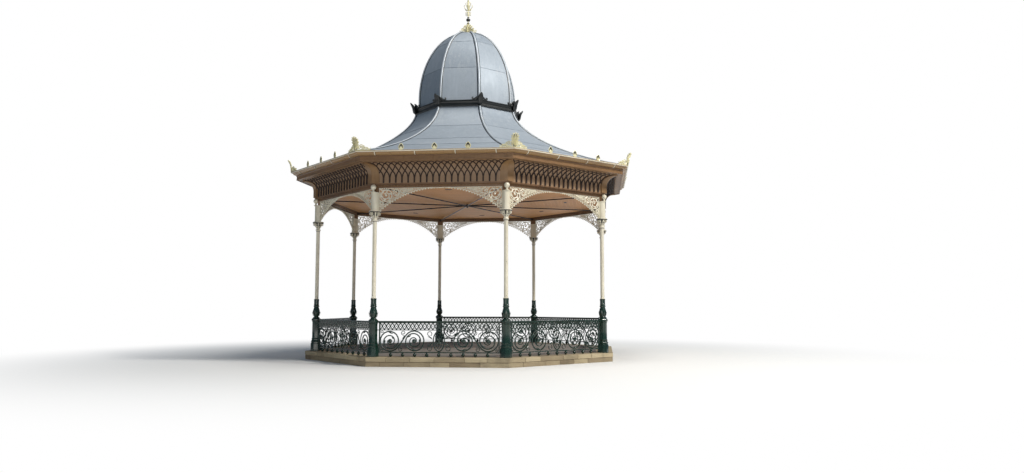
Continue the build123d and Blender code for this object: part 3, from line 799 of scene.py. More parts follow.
    def place(
        self, name: str, finishes: Finishes, slot: Slot, replaces: str = "", turn: float = 0.0,
        angle: float = 35.0
    ) -> None:
        """Make the finished piece.

        Args:
            name: Its name.
            finishes: The finishes.
            slot: The slot that it takes its finish from.
            replaces: The CAD node that it stands for, if any.
            turn: Turn about the centre line.
            angle: Angle in degrees past which an edge stays sharp.
        """
        mesh = bpy.data.meshes.new(name)
        self.bm.to_mesh(mesh)
        if turn:
            mesh.transform(Matrix.Rotation(turn, 4, "Z"))
        mesh.polygons.foreach_set("use_smooth", [True] * len(mesh.polygons))
        mesh.set_sharp_from_angle(angle=radians(angle))
        mesh.materials.append(finishes.materials[slot])
        piece = bpy.data.objects.new(name, mesh)
        bpy.context.scene.collection.objects.link(piece)
        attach(piece, "root")
        if replaces:
            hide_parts(replaces)
        mesh.calc_loop_triangles()
        log.info("%s: %d triangles", name, len(mesh.loop_triangles))


def paint_node(node: str, material: bpy.types.Material) -> None:
    """Give a CAD node its finish in its own material slots."""
    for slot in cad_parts[node].material_slots:
        slot.material = material
    log.info("%s: painted", node)


@dataclass
class Plinth:
    """Kerb of coursed blocks round the floor of flags."""

    outer: float = COLUMN_LINE + 0.305
    inner: float = COLUMN_LINE - 0.215
    bed_joint: float = 0.011
    lower_head: float = 0.128
    lengths: Point = (0.52, 0.86)
    flag: float = 0.6
    flag_joint: float = 0.008
    flag_bed: float = 0.247
    mortar_set: float = 0.014
    lower_set: float = 0.01
    roughness: float = 0.006
    skin: float = 0.02

    def block(self, x: Point, low: float, high: float, chance: Random) -> Form:
        """One block of the front side.

        Args:
            x: Its ends along the side.
            low: Its bed.
            high: Its head.
            chance: Source of its small differences.

        Returns:
            The block.
        """
        form = Form()
        lower = high < FLOOR
        face = self.outer - chance.uniform(0.0, 0.004) - (self.lower_set if lower else 0.0)
        part = Form.cube((x[0], -face, low), (x[1], -self.inner, high), 0.005)
        edge = -face + self.skin
        fronts = [e for e in part.edges if all(v.co.y < edge for v in e.verts) and e.calc_length() > 0.06]
        bmesh.ops.subdivide_edges(part, edges=fronts, cuts=4, use_grid_fill=True)
        seed = Vector((chance.uniform(0, 90), 0.0, 0.0))
        for vert in part.verts:
            if vert.co.y < edge:
                wave = noise.noise((vert.co + seed) * 9.0) + 0.5 * noise.noise((vert.co + seed) * 27.0)
                vert.co.y += self.roughness * (0.6 + wave)
        form.add(part, tone=chance.random() * 0.7 + (0.3 if lower else 0.0))
        return form

    def kerb(self) -> Form:
        """The whole kerb, its blocks round a core of mortar."""
        whole = Form()
        chance = Random(11)
        reach = self.outer * tan(HALF)
        for side in range(SIDES):
            row = Form()
            for low, high in [(0.0, self.lower_head), (self.lower_head + self.bed_joint, FLOOR)]:
                x = -reach
                share = 0.6 if high < FLOOR else 1.0
                while x < reach - 1e-6:
                    end = x + chance.uniform(*self.lengths) * share
                    if reach - end < self.lengths[0] * 0.6:
                        end = reach
                    row.merge(
                        self.block((x + self.bed_joint / 2, end - self.bed_joint / 2), low, high, chance)
                    )
                    x = end
                    share = 1.0
            row.mitre(0.001)
            whole.merge(row, spin_matrix(side))
        back, face = self.inner + self.mortar_set, self.outer - 2 * self.mortar_set
        head = FLOOR - self.mortar_set
        whole.octagon_spin([(back, 0.001), (face, 0.001), (face, head), (back, head)], tone=1.6)
        return whole

    def floor(self) -> Form:
        """Flags in courses on their bed, cut to the octagon."""
        flags = Form()
        chance = Random(5)
        reach = self.inner / cos(HALF)
        rows = round(2 * reach / self.flag)
        gap = self.flag_joint / 2
        for row in range(rows + 1):
            y = -reach + row * self.flag
            shift = (row % 2) * self.flag * 0.5
            for column in range(rows + 2):
                x = -reach - self.flag + column * self.flag + shift
                high = (x + self.flag - gap, y + self.flag - gap, FLOOR)
                flags.block((x + gap, y + gap, self.flag_bed), high, 0.0025, chance.random())
        for side in range(SIDES):
            normal = Matrix.Rotation(BAY * side, 3, "Z") @ FRONT
            flags.cut(normal * (self.inner - 0.004), normal)
        bed, head = self.inner - 0.003, self.flag_bed + 0.004
        flags.octagon_spin([(0.0, 0.001), (bed, 0.001), (bed, head), (0.0, head)], False)
        return flags

    def build(self, finishes: Finishes) -> None:
        """Build and dress the plinth."""
        self.kerb().place("kerb_blocks", finishes, Slot.STONE, "plinth_kerb")
        self.floor().place("floor_flags", finishes, Slot.PAVING, "floor_slab")


@dataclass
class Pedestals:
    """Octagonal cast pedestals with mouldings and a turned, gadrooned vase."""

    gadroons: int = 12
    gadroon_foot: float = 1.36
    gadroon_head: float = 1.64
    gadroon_depth: float = 0.035
    round_steps: int = 36

    def base(self) -> Points:
        """Profile of the octagonal part, from the floor to the foot of the vase."""
        drum = [
            (0.0, 0.49), (-0.004, 0.5), (-0.012, 0.505), (-0.018, 0.53), (-0.018, 0.543), (-0.009, 0.55),
            (-0.006, 0.56), (-0.009, 0.57), (-0.02, 0.577), (-0.026, 0.59)
        ]
        die = [
            (0.006, 0.622), (0.006, 0.63), (0.013, 0.636), (0.016, 0.645), (0.013, 0.654), (0.003, 0.66),
            (0.0, 0.668), (0.0, 1.17), (0.003, 1.176), (0.012, 1.182), (0.012, 1.19), (0.006, 1.196),
            (0.008, 1.208)
        ]
        cap = [
            (-0.004, 1.222), (0.0, 1.228), (0.0, 1.262), (-0.006, 1.268), (-0.012, 1.284), (-0.034, 1.298),
            (-0.04, 1.305)
        ]
        rise = shifted(drum, DRUM) + shifted(die, DIE) + shifted(cap, CAP)
        return [(0.0, FLOOR), (DRUM, FLOOR), *rise, (0.0, 1.305)]

    def vase(self) -> Points:
        """Profile of the turned part."""
        swell = [
            (0.07, 1.348), (0.09, 1.386), (0.11, 1.45), (0.113, 1.492), (0.104, 1.548), (0.084, 1.612),
            (0.074, 1.648)
        ]
        foot = [(0.0, 1.3), (0.1, 1.3), (0.104, 1.312), (0.1, 1.324), (0.086, 1.33), (0.074, 1.34)]
        rings = [
            (0.078, 1.652), (0.088, 1.656), (0.092, 1.666), (0.092, 1.682), (0.088, 1.692), (0.08, 1.696),
            (0.076, 1.708), (0.083, 1.716), (0.085, 1.724), (0.083, 1.732)
        ]
        sleeve = [(0.0775, 1.74), (0.0775, 1.862), (0.083, 1.87), (0.083, 1.89), (0.076, 1.9), (0.0, 1.9)]
        return [*foot, *smooth_line(swell), *rings, *sleeve]

    def build(self, finishes: Finishes) -> None:
        """Build and dress the eight pedestals as one piece."""
        one = Form()
        one.octagon_spin(self.base(), False)
        one.spin(self.vase(), self.round_steps)
        for vert in one.bm.verts:
            if self.gadroon_foot < vert.co.z < self.gadroon_head and hypot(vert.co.x, vert.co.y) > 0.05:
                swell = sin(pi * (vert.co.z - self.gadroon_foot) / (self.gadroon_head - self.gadroon_foot))
                wave = cos(self.gadroons * atan2(vert.co.y, vert.co.x))
                vert.co.xy *= 1.0 - self.gadroon_depth * swell * (1.0 - wave)
        leaf = Form()
        path = radial_line(smooth_line([(0.093, 1.362), (0.113, 1.42), (0.12, 1.47), (0.13, 1.5)], 3))
        widths = [0.012 + 0.03 * sin(pi * (i + 1) / (len(path) + 1)) for i in range(len(path))]
        leaf.sweep(path, Vector((0.0, -1.0, 0.3)), widths, 0.012)
        one.round_the_octagon(leaf)
        Form().at_columns(one).place("pedestals_cast", finishes, Slot.GREEN, "pedestals", angle=28.0)


@dataclass
class Columns:
    """Turned shafts with leaf capitals, the heads between the arches, and ball knobs."""

    shaft: float = 0.0585
    foot: float = 1.9
    abacus_foot: float = 4.365
    head_nose: float = 0.012
    head_back: float = 0.058
    head_top: float = 4.932
    knob_offset: float = 0.088
    knob_middle: float = 5.076
    knob_radius: float = 0.08
    plug_heights: Point = (1.985, 2.92)
    scroll_eye: Point = (0.12, 4.31)

    def shaft_profile(self) -> Points:
        """Profile of the shaft, its astragals and the bell of the capital."""
        r, foot, head = self.shaft, self.foot, self.abacus_foot + 0.001
        bell = smooth_line([(r - 0.008, 4.195), (r - 0.01, 4.24), (r + 0.002, 4.29), (0.078, 4.335)])
        return [
            (0.0, foot), (r + 0.012, foot), (r + 0.012, foot + 0.012), (r, foot + 0.024), (r, 4.098),
            (r + 0.004, 4.104), (r + 0.016, 4.114), (0.08, 4.128), (0.08, 4.142), (r + 0.016, 4.154),
            (r + 0.002, 4.16), (r - 0.002, 4.176), *bell, (0.1, 4.352), (0.112, 4.358), (0.112, head),
            (0.0, head)
        ]

    def abacus_profile(self) -> Points:
        """Profile of the abacus over the capital."""
        edge = [(0.0, 0.0), (0.16, 0.0), (0.17, 0.006), (0.173, 0.014), (0.173, 0.026)]
        return [*shifted(edge, 0.0, self.abacus_foot), (0.166, ARCH_FOOT), (0.0, ARCH_FOOT)]

    def head_plan(self, grow: float) -> Points:
        """Plan of the head, a round nose in front of a flat back, grown by an amount."""
        half = HEAD_HALF + grow
        nose = arc((0.0, -self.head_nose), half, 0.0, -pi, 18)
        return [(half, self.head_back), *nose, (-half, self.head_back)]

    def capital_leaf(self) -> Form:
        """Leaf that curls out under the abacus, and the small scroll over it."""
        form = Form()
        path = radial_line(
            smooth_line([(0.06, 4.186), (0.066, 4.214), (0.08, 4.24), (0.1, 4.252), (0.108, 4.238)], 3)
        )
        form.sweep(path, FRONT, graded(path, lambda s: 0.028 + 0.018 * sin(pi * s)), 0.012)
        curl = spiral(self.scroll_eye, 0.92 * pi, -1.5, (0.043, 0.014), 0.1, 12)
        form.sweep(radial_line([(0.062, 4.236), (0.078, 4.276), *curl]), RIGHT, 0.019, 0.044)
        return form

    def head(self, form: Form) -> None:
        """Add the head with its foot and head mouldings, and the knob."""
        foot, top = ARCH_FOOT, self.head_top
        for low, high, grow in [
            (foot, foot + 0.016, 0.012), (foot + 0.016, foot + 0.026, 0.006),
            (foot + 0.02, top - 0.03, 0.0), (top - 0.036, top - 0.026, 0.006), (top - 0.026, top, 0.012)
        ]:
            middle = Matrix.Translation((0.0, 0.0, (low + high) / 2))
            form.plate(self.head_plan(grow), high - low, middle, 0.002)
        r = self.knob_radius
        collar = [
            (0.0, -0.001), (0.066, -0.001), (0.068, 0.006), (0.06, 0.014), (0.036, 0.02), (0.028, 0.032)
        ]
        knob = shifted(collar, 0.0, top) + ball(r, self.knob_middle, r, range(-66, 90, 12))
        knob.append((0.0, self.knob_middle + r))
        form.spin(knob, 20, matrix=Matrix.Translation(FRONT * self.knob_offset))

    def shade_and_plugs(self) -> Form:
        """Painted shade in black: the hollows behind a capital's leaves and its two shadow rings; and the
        plugs in the shaft.
        """
        form = Form()
        r = self.shaft
        # Painted shade: a dark ring behind the leaves, where the capital's hollows fall in shade.
        hollow = smooth_line(
            [(r - 0.004, 4.204), (r + 0.004, 4.24), (r + 0.03, 4.28), (0.1, 4.335), (0.112, 4.354)], 3
        )
        form.spin([*hollow, (0.05, 4.354), (0.04, 4.204)], 24, closed=True)
        # Painted shadow: dark rings under the abacus and under the astragal.
        for radius, low, high in [(0.1745, 4.356, 4.376), (r + 0.003, 4.086, 4.1)]:
            form.spin(
                [(radius - 0.02, low), (radius, low), (radius, high), (radius - 0.02, high)], 28,
                closed=True
            )
        for z in self.plug_heights:
            plane = upright(RIGHT, UP, FRONT, Vector((0.0, -r, z)))
            form.spin([(0.0, -0.001), (0.009, -0.001), (0.009, 0.001), (0.0, 0.0015)], 10, matrix=plane)
        return form

    def build(self, finishes: Finishes) -> None:
        """Build and dress the eight columns."""
        one = Form()
        one.spin(self.shaft_profile(), 28)
        one.spin(self.abacus_profile(), 32)
        one.round_the_octagon(self.capital_leaf())
        for i in range(SIDES):
            one.bead(spin_matrix(i) @ radial_line([self.scroll_eye])[0], (0.03, 0.03, 0.03))
        self.head(one)
        column = one.set_out()
        for i, name in enumerate(COLUMN_NAMES):
            column.place(f"column_cast_{name}", finishes, Slot.CREAM, f"column_{name}", HALF + BAY * i)
        Form().at_columns(self.shade_and_plugs()).place("shaft_shade_and_plugs", finishes, Slot.BLACK)
        post = Form()
        post.block((-HEAD_HALF, -0.028, self.head_top), (HEAD_HALF, self.head_back, BEAM_FOOT), 0.002)
        Form().at_columns(post).place("head_posts", finishes, Slot.BROWN)


@dataclass
class BayPanel:
    """Openwork of one bay on the columns' line, with bars and leaves mirrored about its middle."""

    bar_depth: float = 0.022
    leaf_tip: float = 0.006
    leaf_depth: float = 0.018

    def bars(self, form: Form, path: Points, width: float | list[float], depth: float = 0.0) -> None:
        """Add a bar along a path and its mirror image, of the usual depth if none is given."""
        for side in HANDS:
            form.sweep(bay_line([(side * x, z) for x, z in path]), FRONT, width, depth or self.bar_depth)

    def leaf(self, form: Form, path: Points, width: float) -> None:
        """Add a leaf that widens and narrows along a path, and its mirror image."""
        line = smooth_line(path)
        widths = graded(line, lambda s: self.leaf_tip + (width - self.leaf_tip) * sin(pi * s**0.8))
        self.bars(form, line, widths, self.leaf_depth)


@dataclass
class Railings(BayPanel):
    """Cast scroll railings with a cross frieze and ball feet."""

    rail_top: float = FLOOR + 1.004
    rail_foot: float = FLOOR + 0.112
    frieze_foot: float = FLOOR + 0.762
    frieze_head: float = FLOOR + 0.945
    end_gap: float = 0.0003
    bar: float = 0.041
    spacing: float = 0.69
    scroll_turns: float = 2.45
    scroll_end: float = 0.062
    scroll_hold: float = 0.22
    cross_pitch: float = 0.116
    feet: int = 9

    def reach(self, half_width: float = DRUM) -> float:
        """Half the room between two pedestals where they have a half width."""
        return BAY_HALF - half_width / cos(HALF) - self.end_gap

    def rails(self, form: Form) -> None:
        """Add the top rail, the two frieze rails, the bottom rail and the stiles."""
        top = symmetric(
            [
                (0.018, -0.044), (0.024, -0.036), (0.032, -0.03), (0.032, -0.016), (0.027, -0.01),
                (0.027, -0.006), (0.02, 0.0)
            ]
        )
        small = symmetric([(0.008, -0.011), (0.017, -0.005), (0.017, 0.005), (0.008, 0.011)])
        foot = symmetric([(0.017, 0.0), (0.017, 0.014), (0.011, 0.02), (0.011, 0.026), (0.005, 0.03)])
        for section, middle, reach in [
            (top, self.rail_top, self.reach(CAP)), (small, self.frieze_head + 0.009, self.reach(CAP)),
            (small, self.frieze_foot - 0.011, self.reach(DIE)), (foot, self.rail_foot, self.reach())
        ]:
            form.plate(section, 2 * reach, upright(-FRONT, UP, RIGHT, bay_point(0.0, middle)))
        for side in HANDS:
            inner, outer = sorted((side * (self.reach() - self.bar), side * self.reach()))
            form.block(
                (inner, -COLUMN_LINE - 0.013, self.rail_foot),
                (outer, -COLUMN_LINE + 0.013, self.rail_top - 0.03), 0.003
            )

    def scrolls(self, form: Form) -> None:
        """Add the running scrolls, their eyes and leaves, and the loop in the middle."""
        low, high = self.rail_foot + 0.03, self.frieze_foot - 0.022
        middle = (low + high) / 2
        radius = (high - low) / 2 + 0.006 - self.bar / 2
        outer_x = self.reach() - self.bar - radius
        inner_x = outer_x - self.spacing
        crossing = acos(2 * radius / self.spacing)
        path = []
        for x, start in ((outer_x, pi + crossing), (inner_x, crossing)):
            curl = spiral(
                (x, middle), start, self.scroll_turns, (radius, self.scroll_end), self.scroll_hold, 18
            )
            path += curl if path else curl[::-1]
            for side in HANDS:
                form.bead(bay_point(side * x, middle), (0.125, 0.044, 0.125), 10)
            for turns, size in [(0.62, 0.07), (0.98, 0.064), (1.34, 0.056), (1.72, 0.046)]:
                at = start + 2 * pi * turns
                share = max(0.0, turns / self.scroll_turns - self.scroll_hold) / (1.0 - self.scroll_hold)
                r = radius + (self.scroll_end - radius) * share
                sprig = [(r, 0.0), (r - size * 0.45, 0.16), (r - size * 0.75, 0.4), (r - size * 0.62, 0.62)]
                self.leaf(form, [(x + q * cos(at + a), middle + q * sin(at + a)) for q, a in sprig], 0.04)
        count = len(path) - 1
        self.bars(
            form, path,
            [0.03 + (self.bar - 0.03) * min(1.0, min(i, count - i) / 30) for i in range(count + 1)], 0.026
        )
        for half, rise, bar in [(0.16, radius, self.bar - 0.004), (0.094, radius - 0.066, 0.022)]:
            angles = [pi * i / 16 for i in range(17)]
            self.bars(form, [(half * sin(a) ** 1.15, middle - rise * cos(a)) for a in angles], bar)
        form.bead(bay_point(0.0, middle), (0.064, 0.036, 0.064), 10)
        between = (outer_x + inner_x) / 2
        for up in HANDS:
            for path, width in [
                ([(0.0, 0.02), (0.0, 0.0825), (0.0, 0.165)], 0.044),
                ([(0.0, 0.02), (0.0372, 0.045), (0.062, 0.09)], 0.044),
                ([(0.19, 0.055), (0.245, 0.105), (0.318, 0.13)], 0.04),
                ([(between - up * x, z) for x, z in [(0.01, 0.065), (0.06, 0.125), (0.045, 0.175)]], 0.04)
            ]:
                self.leaf(form, [(x, middle + up * z) for x, z in path], width)
            lens = arc((0.262, middle + up * 0.205), 0.062, -up * pi * 0.5, up * pi * 1.34, 16)
            curl = spiral(
                (between - up * 0.04, middle + up * 0.228), -up * pi * 0.45, up * 1.25, (0.062, 0.016), 0.2,
                16
            )
            centre = (self.reach() - self.bar - 0.048, middle + up * (radius - 0.036))
            corner = spiral(centre, -up * 0.9 * pi, -up * 1.1, (0.04, 0.012), 0.2)
            for path, width in ((lens, 0.02), (curl, 0.02), (corner, 0.018)):
                self.bars(form, path, width, 0.02)

    def frieze(self, form: Form) -> None:
        """Add the row of small crosses with a stud in each and between them."""
        low, high = self.frieze_foot + 0.002, self.frieze_head
        middle = (low + high) / 2
        length = 2 * (self.reach() - self.bar)
        count = round(length / self.cross_pitch)
        pitch = length / count
        for i in range(count):
            x = (i - (count - 1) / 2) * pitch
            for side in HANDS:
                ends = [
                    (x - side * pitch / 2, low - 0.004), (x, middle), (x + side * pitch / 2, high + 0.004)
                ]
                form.sweep(bay_line(ends), FRONT, 0.027, 0.018, 4)
            form.bead(bay_point(x, middle), (0.05, 0.034, 0.05))
            for z in (low + 0.026, high - 0.026):
                form.bead(bay_point(x, z), (0.026, 0.022, 0.026), 5)
        for i in range(count + 1):
            form.bead(bay_point((i - count / 2) * pitch, middle), (0.03, 0.022, 0.044), 5)

    def foot(self) -> Form:
        """One ball foot with its pad and collar."""
        form = Form()
        pad = [(0.0, 0.0), (0.036, 0.0), (0.036, 0.008), (0.02, 0.012)]
        collar = [(0.018, 0.1), (0.028, 0.104), (0.028, 0.113), (0.0, 0.113)]
        form.spin(shifted([*pad, *ball(0.05, 0.057, 0.044, range(-66, 67, 12)), *collar], 0.0, FLOOR), 14)
        return form

    def build(self, finishes: Finishes) -> None:
        """Build and dress the seven railings."""
        one = Form()
        self.rails(one)
        self.scrolls(one)
        self.frieze(one)
        foot = self.foot()
        for i in range(self.feet):
            x = (i - (self.feet - 1) / 2) * self.spacing / 2
            one.merge(foot, Matrix.Translation((x, -COLUMN_LINE, 0.0)))
        for i, name in enumerate(BAY_NAMES):
            if name != OPEN_BAY:
                one.place(f"railing_cast_{name}", finishes, Slot.GREEN, f"railing_{name}", BAY * i)


@dataclass
class Spandrels(BayPanel):
    """Cast openwork arches: moulded bands with a toothed edge and arabesque scrolls over them."""

    bar_depth: float = 0.018
    leaf_tip: float = 0.005
    leaf_depth: float = 0.014
    radius: float = 2.667
    centre: float = 5.063 - radius
    band: float = radius + 0.062
    top: float = BEAM_FOOT - 0.034
    half: float = BAY_HALF - HEAD_HALF / cos(HALF)
    stile: float = 0.016
    foot: float = ARCH_FOOT + 0.0003
    tooth_pitch: float = 0.086
    stud_pitch: float = 0.064
    round_gap: float = 0.016

    def arch_line(self, radius: float, angles: Iterable[float]) -> list[Vector]:
        """Places on an arch of a radius, at angles from its crown."""
        return bay_line((radius * sin(a), self.centre + radius * cos(a)) for a in angles)

    def edge(self, form: Form) -> None:
        """Add the rail, the stiles, the bands of the arch and its teeth."""
        half, top = self.half - 0.0004, self.top
        form.block((-half, -COLUMN_LINE - 0.01, top - 0.01), (half, -COLUMN_LINE + 0.01, top), 0.002)
        for side in HANDS:
            inner, outer = sorted((side * (half - self.stile), side * half))
            form.block((inner, -COLUMN_LINE - 0.012, self.foot), (outer, -COLUMN_LINE + 0.012, top), 0.002)
        for radius, width, depth in [
            (self.radius + 0.013, 0.018, 0.044), (self.band - 0.006, 0.012, 0.034)
        ]:
            span = min(half, sqrt(radius**2 - (self.foot - self.centre) ** 2)) - 0.004
            reach = asin(span / radius)
            form.sweep(
                self.arch_line(radius, [reach * (i / 28 - 1) for i in range(57)]), FRONT, width, depth
            )
        reach = asin(min(half - 0.05, 1.76) / self.radius)
        count = round(2 * reach * self.radius / self.tooth_pitch)
        foot = self.radius + 0.014
        for i in range(count + 1):
            a = reach * (2 * i / count - 1)
            form.bead(self.arch_line(self.radius - 0.008, [a])[0], (0.052, 0.02, 0.048), 5)
            loop = [
                (a + 0.42 * self.tooth_pitch / foot * cos(t), foot + 0.04 * sin(t))
                for t in [pi * k / 6 for k in range(7)]
            ]
            form.sweep([self.arch_line(r, [q])[0] for q, r in loop], FRONT, 0.011, 0.016, 4)
        reach = half - 0.03
        count = round(2 * reach / self.stud_pitch)
        for i in range(count + 1):
            form.bead(bay_point((2 * i / count - 1) * reach, top - 0.02), (0.034, 0.02, 0.028), 5)

    def ring(self, x: float) -> float:
        """Radius of the round that touches both the rail and the arch's band, centred at x."""
        head = self.top - self.round_gap - self.centre
        return (x * x + head**2 - self.band**2) / (2 * (head + self.band))

    def scroll(self, form: Form, centre: Point, radius: float, start: float, sense: int) -> None:
        """Add one arabesque scroll with its eye and its leaves.

        Args:
            form: Where it goes.
            centre: Its middle.
            radius: Its outer radius.
            start: Angle of its outer end.
            sense: 1 for anticlockwise, -1 for clockwise.
        """
        bar = 0.012 + 0.1 * radius
        self.bars(
            form, spiral(centre, start, sense * 2.0, (radius - bar / 2, radius * 0.26), 0.3), bar, 0.02
        )
        eye = max(0.024, radius * 0.36)
        for side in HANDS:
            form.bead(bay_point(side * centre[0], centre[1]), (eye, 0.026, eye), 8)
        if radius > 0.045:
            for i in range(6):
                a = start + sense * (0.4 + 1.05 * i)
                turns = [
                    (radius * r, a + sense * t) for r,
                    t in [(0.96, 0.0), (0.8, 0.25), (0.62, 0.42), (0.44, 0.45)]
                ]
                self.leaf(
                    form, [(centre[0] + r * cos(t), centre[1] + r * sin(t)) for r, t in turns],
                    0.026 + radius * 0.13
                )

    def lace(self, form: Form) -> None:
        """Add the scrolls that fill the spandrel, largest in the corner, and the curls in the gaps."""
        head = self.top - self.round_gap
        wall = self.half - self.stile
        x = wall - 0.15
        for _ in range(20):
            x = wall - self.ring(x) - 0.003
        rounds = []
        while self.ring(x) > 0.016:
            r = self.ring(x)
            rounds.append((x, head - r, r))
            step = x
            for _ in range(20):
                step = x - (self.ring(step) + r) * 0.985
            x = step
        for i, (cx, cz, r) in enumerate(rounds):
            self.scroll(form, (cx, cz), r, (0.15 + 0.5 * (i % 2)) * pi, 1 if i % 2 else -1)
        for drop in (0.232, 0.318):
            z = rounds[0][1] - drop
            r = (wall**2 + (z - self.centre) ** 2 - self.band**2) / (2 * (self.band + wall))
            if r > 0.012:
                self.scroll(form, (wall - r, z), r, 0.4 * pi, -1)
        for (ax, _, ar), (_, _, br) in zip(rounds, rounds[1:]):
            middle = ax - ar * 0.98
            size = 0.34 * br
            low = self.centre + sqrt(self.band**2 - middle**2) + size * 1.25
            for z, up in ((head - size * 1.15, 1), (low, -1)):
                curl = spiral((middle, z), up * 0.2 * pi, up * 1.2, (size, size * 0.3), 0.2, 12)
                self.bars(form, curl, 0.011 + size * 0.16, 0.016)
        cx, cz, r = rounds[0]
        for path, width in [
            (shifted([(-0.012, -0.012), (-0.045, -0.03), (-0.062, -0.062)], wall, head), 0.04),
            (shifted([(-0.006, -r * 0.7), (-0.035, -r * 0.92), (-0.075, -r * 1.12)], wall, cz), 0.036),
            (shifted([(-r * 0.78, -r * 0.7), (-r * 0.62, -r * 0.98), (-r * 0.28, -r * 1.1)], cx, cz), 0.036)
        ]:
            self.leaf(form, path, width)

    def build(self, finishes: Finishes) -> None:
        """Build and dress the eight arches."""
        one = Form()
        self.edge(one)
        self.lace(one)
        for i, name in enumerate(BAY_NAMES):
            one.place(f"spandrel_cast_{name}", finishes, Slot.CREAM, f"spandrel_{name}", BAY * i)


